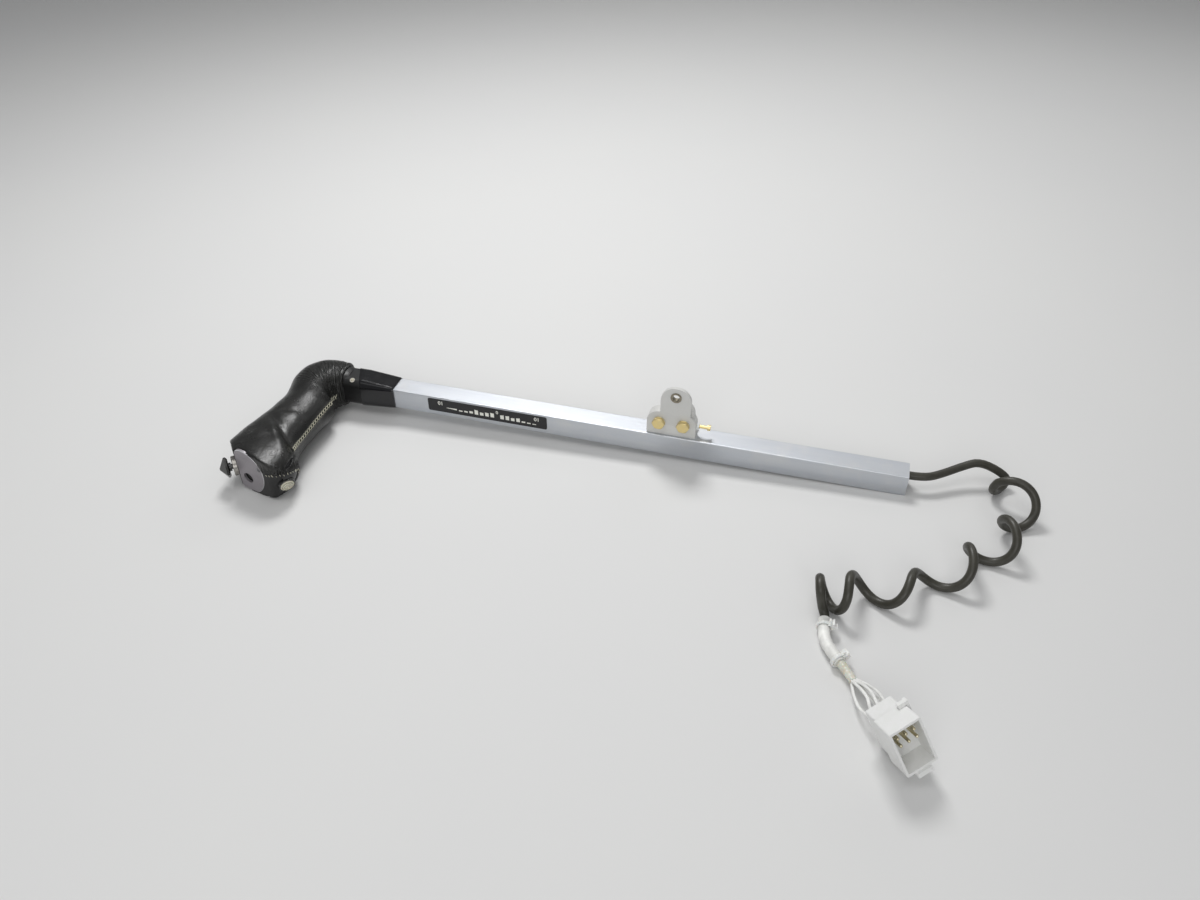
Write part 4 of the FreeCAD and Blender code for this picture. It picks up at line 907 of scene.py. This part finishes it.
def fold_height(yoke):
    """How far the leather stands off its plain shape, in mm."""
    x, y, z = yoke.T
    _, angle, reach = middle_of(yoke)
    height = np.zeros(len(yoke))
    upper_side = np.clip(FOLD_LEVEL + FOLD_TOP * np.clip(z / FOLD_RISE, -1, 1), FOLD_LEAST, 1)
    for low, high, wide, tall in FOLDS:
        away, share = nearest_along(yoke[:, :2], low, high)
        ends = np.sin(np.pi * np.clip(share * FOLD_SPAN + FOLD_START, 0, 1)) ** 0.5
        height += tall * upper_side * ends * bell(away, wide)
    at_elbow = np.interp(angle, (PLEATS_IN, PLEATS_FULL, PLEATS_OUT, PLEATS_END), (0, 1, 1, 0))
    for turn, slant, wide, tall, middle, long in PLEAT_LIST:
        turned = np.radians(angle - turn - slant * (reach - middle) - PLEAT_LEAN * z)
        arc = turned * np.maximum(reach, PLEAT_REACH)
        groove = GROOVE * bell(arc, wide) - RIDGE * bell(arc - RIDGE_AT * wide, wide)
        height -= tall * bell(reach - middle, long) * at_elbow * groove
    from_hem = HEM_X - (x + HEM_SLANT * y)
    height += (y > HEM_END) * waves(from_hem, HEM_WAVES)
    slow = np.sin(x * SLOW_X + SLOW_WANDER * np.sin(y * SLOW_BEND))
    return height + SLOW_WAVE * slow * np.sin(y * SLOW_Y + z * SLOW_Z)


def seam_dip(yoke):
    """Groove of the long seam between the two edges it draws together."""
    away, _ = near_path(yoke, LONG_SEAM)
    return waves(away, SEAM_WAVES)


def gathers(yoke):
    """Small pleats in the leather above the cap's seam."""
    away, along_it = near_path(yoke, CAP_SEAM)
    wave = np.sin(2 * math.pi * along_it / GATHER_PITCH
                  + GATHER_WANDER * np.sin(along_it * GATHER_SLOW))
    return GATHER_TALL * bell(away - GATHER_AT, GATHER_REACH) * (GATHER_FULL + wave)


def skin_height(yoke):
    return fold_height(yoke) + seam_dip(yoke) + gathers(yoke)


def cap_height(yoke):
    slow = np.sin(CAP_X * yoke[:, 0] + CAP_Z * yoke[:, 2])
    return CAP_GATHERS * gathers(yoke) + CAP_WAVE * slow


def surface_of(mesh):
    """BVH tree of a mesh, to put seams and stitches on."""
    work = work_on(mesh)
    tree = BVHTree.FromBMesh(work)
    work.free()
    return tree


def remeshed(name, meshes, voxel):
    """One even mesh round a few meshes."""
    copy = new_object(name, mesh_of(work_on(*meshes), name))
    weld = copy.modifiers.new("weld", "WELD")
    weld.merge_threshold = WELD * MM
    modifier = copy.modifiers.new("remesh", "REMESH")
    modifier.mode = "VOXEL"
    modifier.voxel_size = voxel * MM
    bpy.context.view_layer.update()
    evaluated = copy.evaluated_get(bpy.context.evaluated_depsgraph_get())
    mesh = bpy.data.meshes.new_from_object(evaluated)
    bpy.data.objects.remove(copy)
    return mesh


def soften(mesh, rounds):
    work = work_on(mesh)
    for _ in range(rounds):
        bmesh.ops.smooth_vert(work, verts=work.verts, factor=SOFTEN_SHARE, use_axis_x=True,
                              use_axis_y=True, use_axis_z=True)
    work.to_mesh(mesh)
    work.free()


def read_points(items, key):
    values = np.zeros(len(items) * 3, np.float32)
    items.foreach_get(key, values)
    return values.reshape(-1, 3).astype(float)


def seam_level(y):
    """Height of the cap's seam for a place along the grip."""
    return SEAM_TOP - SEAM_BEND * (y - SEAM_PEAK) ** 2


def flap_faces(union):
    """Faces of the head that the flap lies on: its bare end and what shows below the wrap."""
    tree = surface_of(union)
    keep_off = [surface_of(NODES[node].data) for node in KEEP_OFF]
    centres = read_points(union.polygons, "center")
    normals = read_points(union.polygons, "normal")
    x, y, z = to_yoke(centres).T
    faces_end = (normals @ np.array(LEAN))[:, 1] < FLAP_FACING
    below_wrap = (z < FLAP_TOP) & (x > FLAP_RIGHT)
    wanted = (y < CAP_EDGE) & (x > FLAP_LEFT) & (z > seam_level(y)) & (faces_end | below_wrap)
    kept = set()
    for number in np.flatnonzero(wanted):
        centre, normal = Vector(centres[number]), Vector(normals[number])
        hit = tree.ray_cast(centre + normal * (AIR_FROM * MM), normal, AIR_TO * MM)[0]
        near = [other.find_nearest(centre, KEEP_OFF_BY * MM)[0] for other in keep_off]
        if all(found is None for found in (hit, *near)):
            kept.add(int(number))
    return kept


def head_flap():
    """The leather that is drawn over the head's end, from the wrap down to the cap's seam."""
    union = remeshed("head", [NODES[node].data for node in FLAP_PIECES], VOXEL)
    kept = flap_faces(union)
    work = work_on(union)
    others = [face for face in work.faces if face.index not in kept]
    bmesh.ops.delete(work, geom=others, context="FACES")
    work.normal_update()
    faces = list(work.faces)
    rim = [edge for edge in work.edges if len(edge.link_faces) == 1]
    raised = {vertex: work.verts.new(vertex.co + vertex.normal * (FLAP_OUT * MM))
              for vertex in list(work.verts)}
    for face in faces:
        work.faces.new([raised[vertex] for vertex in face.verts])
    for edge in rim:
        a, b = edge.verts
        work.faces.new((a, b, raised[b], raised[a]))
    for vertex in raised:
        vertex.co -= vertex.normal * (FLAP_IN * MM)
    return mesh_of(work, "head_flap")


def drape(mesh, height_at):
    """Move the outer side of a leather shell along its normals by a height field in mm."""
    points, normals = read_points(mesh.vertices, "co"), read_points(mesh.vertices, "normal")
    yoke = to_yoke(points)
    middle, _, _ = middle_of(yoke)
    middle[:, 1] = np.maximum(middle[:, 1], HEAD_MIDDLE)
    away = yoke - middle
    away /= np.maximum(np.linalg.norm(away, axis=1), 1e-6)[:, None]
    facing = np.clip(((normals @ np.array(LEAN)) * away).sum(1) * DRAPE_FADE, 0, 1)
    height = np.clip(height_at(yoke), DRAPE_IN, DRAPE_OUT) * facing
    points += normals * (height * MM)[:, None]
    mesh.vertices.foreach_set("co", points.astype(np.float32).ravel())
    mesh.update()
    mesh.shade_smooth()


def add_leather():
    mesh = remeshed("wrap", [NODES["leather_wrap"].data, head_flap()], VOXEL)
    soften(mesh, SKIN_ROUNDS)
    drape(mesh, skin_height)
    return add_object("leather_skin", mesh, "leather", ("leather_wrap",))


def add_cap():
    mesh = remeshed("cap", [NODES["leather_cap"].data], CAP_VOXEL)
    soften(mesh, CAP_ROUNDS)
    drape(mesh, cap_height)
    return add_object("leather_cap_skin", mesh, "cap", ("leather_cap",))


def add_strand(work, points, radius, up, sides):
    """Thread or welt through a few points, in mm, thinner at its ends."""
    add_tube(work, points, up, lambda share, _: radius * (1 if 0 < share < 1 else STRAND_END),
             sides)


def on_surface(trees, point, way):
    """Outermost place on a few surfaces, along a line through a point in mm."""
    found = []
    for tree in trees:
        start = (point + way * CAST) * MM
        hit, _, _, distance = tree.ray_cast(start, -way, 2 * CAST * MM)
        if hit is not None:
            found.append((distance, hit / MM))
    return min(found, key=lambda spot: spot[0])[1] if found else point.copy()


def add_thread(work, trees, start, end, lift, way):
    """One stitch between two places on the leather."""
    a, b = on_surface(trees, start, way), on_surface(trees, end, way)
    points = [a.lerp(b, share) + way * (lift * (1 - (2 * share - 1) ** 4) - THREAD_SUNK)
              for share in THREAD_SHARES]
    add_strand(work, points, THREAD, way, THREAD_SIDES)


def seam_way(point):
    """The way out at a place on the cap's seam."""
    return (point - place_mm(CAP_MIDDLE)).normalized()


def add_stitches(trees):
    """Crossed stitches over the long seam, and slanted ones below the cap's."""
    work = bmesh.new()
    seam = line_of([place_mm(point) for point in LONG_SEAM])
    way = aim(*LONG_SEAM_WAY).normalized()
    count = int(length_of(seam) / CROSS_PITCH)
    for number in range(count):
        centre, heading = along(seam, (number + 0.5) / count)
        across = heading.cross(way).normalized()
        for side in (-1, 1):
            reach = across * CROSS_HALF + heading * (CROSS_LEAN * CROSS_PITCH * side)
            lift = CROSS_LIFT + CROSS_OVER * side
            add_thread(work, trees, centre - reach, centre + reach, lift, way)
    edge = line_of([place_mm(point) for point in CAP_SEAM])
    count = int(length_of(edge) / GATHER_PITCH)
    for number in range(count):
        centre, heading = along(edge, (number + 0.5) / count)
        way = seam_way(centre)
        down = way.cross(heading).normalized()
        if down.z > 0:
            down = -down
        start = centre + down * CAP_STITCH_DOWN + heading * CAP_STITCH_LEAN
        add_thread(work, trees, start, centre - down * CAP_STITCH_UP, CAP_STITCH_LIFT, way)
    mesh = mesh_of(work, "seam_stitches")
    mesh.shade_smooth()
    add_object("seam_stitches", mesh, "thread")


def add_welt(trees):
    """Rolled edge of the leather along the cap's seam."""
    work = bmesh.new()
    line = line_of([place_mm(point) for point in CAP_SEAM], WELT_STEPS)
    points = [on_surface(trees, point, seam_way(point)) + seam_way(point) * WELT_OUT
              for point in line]
    add_strand(work, points, WELT, WELT_UP, WELT_SIDES)
    mesh = mesh_of(work, "seam_welt")
    mesh.shade_smooth()
    add_object("seam_welt", mesh, "cap")


skins = [add_leather(), add_cap(), NODES["grip_core_upper"]]
leather_trees = [surface_of(skin.data) for skin in skins]
add_stitches(leather_trees)
add_welt(leather_trees)


# Scale. Places are in mm from the plate's left end and middle line.

SCALE_START, SCALE_UP, SCALE_FRONT = -410.0, 1.3, -9.825
MARK_THICK, MARK_SUNK = 0.06, 0.02
BAR_PITCH, BAR_WIDE = 4.9, 3.3
WEDGE = [(17.5, -1.3), (27.0, -2.1), (27.0, -0.6), (17.5, -0.9)]
# Two rows of bars: start, the shares of the height at a bar's left and right edge, and each
# bar's foot and height
BAR_ROWS = [
    (29.0, 1.0, 0.92, [(-2.6, 1.2), (-2.6, 1.6), (-2.6, 2.4), (-3.0, 5.0), (-3.0, 3.2),
                       (-3.0, 4.0), (-3.0, 4.6)]),
    (67.5, 0.9, 1.0, [(-3.2, 4.4), (-3.2, 4.4), (-3.2, 3.2), (-3.2, 4.0), (-3.2, 1.6),
                      (-3.2, 1.2), (-3.2, 0.8)]),
]
NUMBER_TALL, NUMBER_BOLD = 5.2, 0.09
# Numbers: text, place and share of the height
NUMBERS = {"scale_number_left": ("10", 12.0, 3.0, 1.0),
           "scale_number_middle": ("0", 64.7, 3.2, 0.85),
           "scale_number_right": ("10", 101.0, 3.0, 1.0)}


def on_scale(x, off, z):
    return place(SCALE_START + x, SCALE_FRONT - off, SCALE_UP + z)


def add_mark(work, outline):
    front = [work.verts.new(on_scale(x, MARK_THICK, z)) for x, z in outline]
    back = [work.verts.new(on_scale(x, -MARK_SUNK, z)) for x, z in outline]
    work.faces.new(front)
    work.faces.new(reversed(back))
    for k in range(len(outline)):
        j = (k + 1) % len(outline)
        work.faces.new((front[j], front[k], back[k], back[j]))


def add_marks():
    """White blocks that grow to the middle of the scale from both ends."""
    work = bmesh.new()
    add_mark(work, WEDGE)
    for start, left, right, bars in BAR_ROWS:
        for number, (foot, tall) in enumerate(bars):
            x = start + BAR_PITCH * number
            add_mark(work, [(x, foot), (x + BAR_WIDE, foot), (x + BAR_WIDE, foot + tall * right),
                            (x, foot + tall * left)])
    bmesh.ops.recalc_face_normals(work, faces=work.faces)
    add_object("scale_marks", mesh_of(work, "scale_marks"), "mark")


def add_number(name, text, x, z, share):
    """Number on the scale, upside down as the yoke lies."""
    data = bpy.data.curves.new(name, "FONT")
    data.body = text
    data.size = share * NUMBER_TALL * MM
    data.align_x, data.align_y = "CENTER", "CENTER"
    data.extrude, data.offset = MARK_THICK / 2 * MM, NUMBER_BOLD * MM
    turn = Matrix((-aim(1, 0, 0), -aim(0, 0, 1), aim(0, -1, 0))).transposed().to_4x4()
    at = Matrix.Translation(on_scale(x, MARK_THICK / 2, z)) @ turn
    add_object(name, data, "mark", at=at)


add_marks()
for name, values in NUMBERS.items():
    add_number(name, *values)
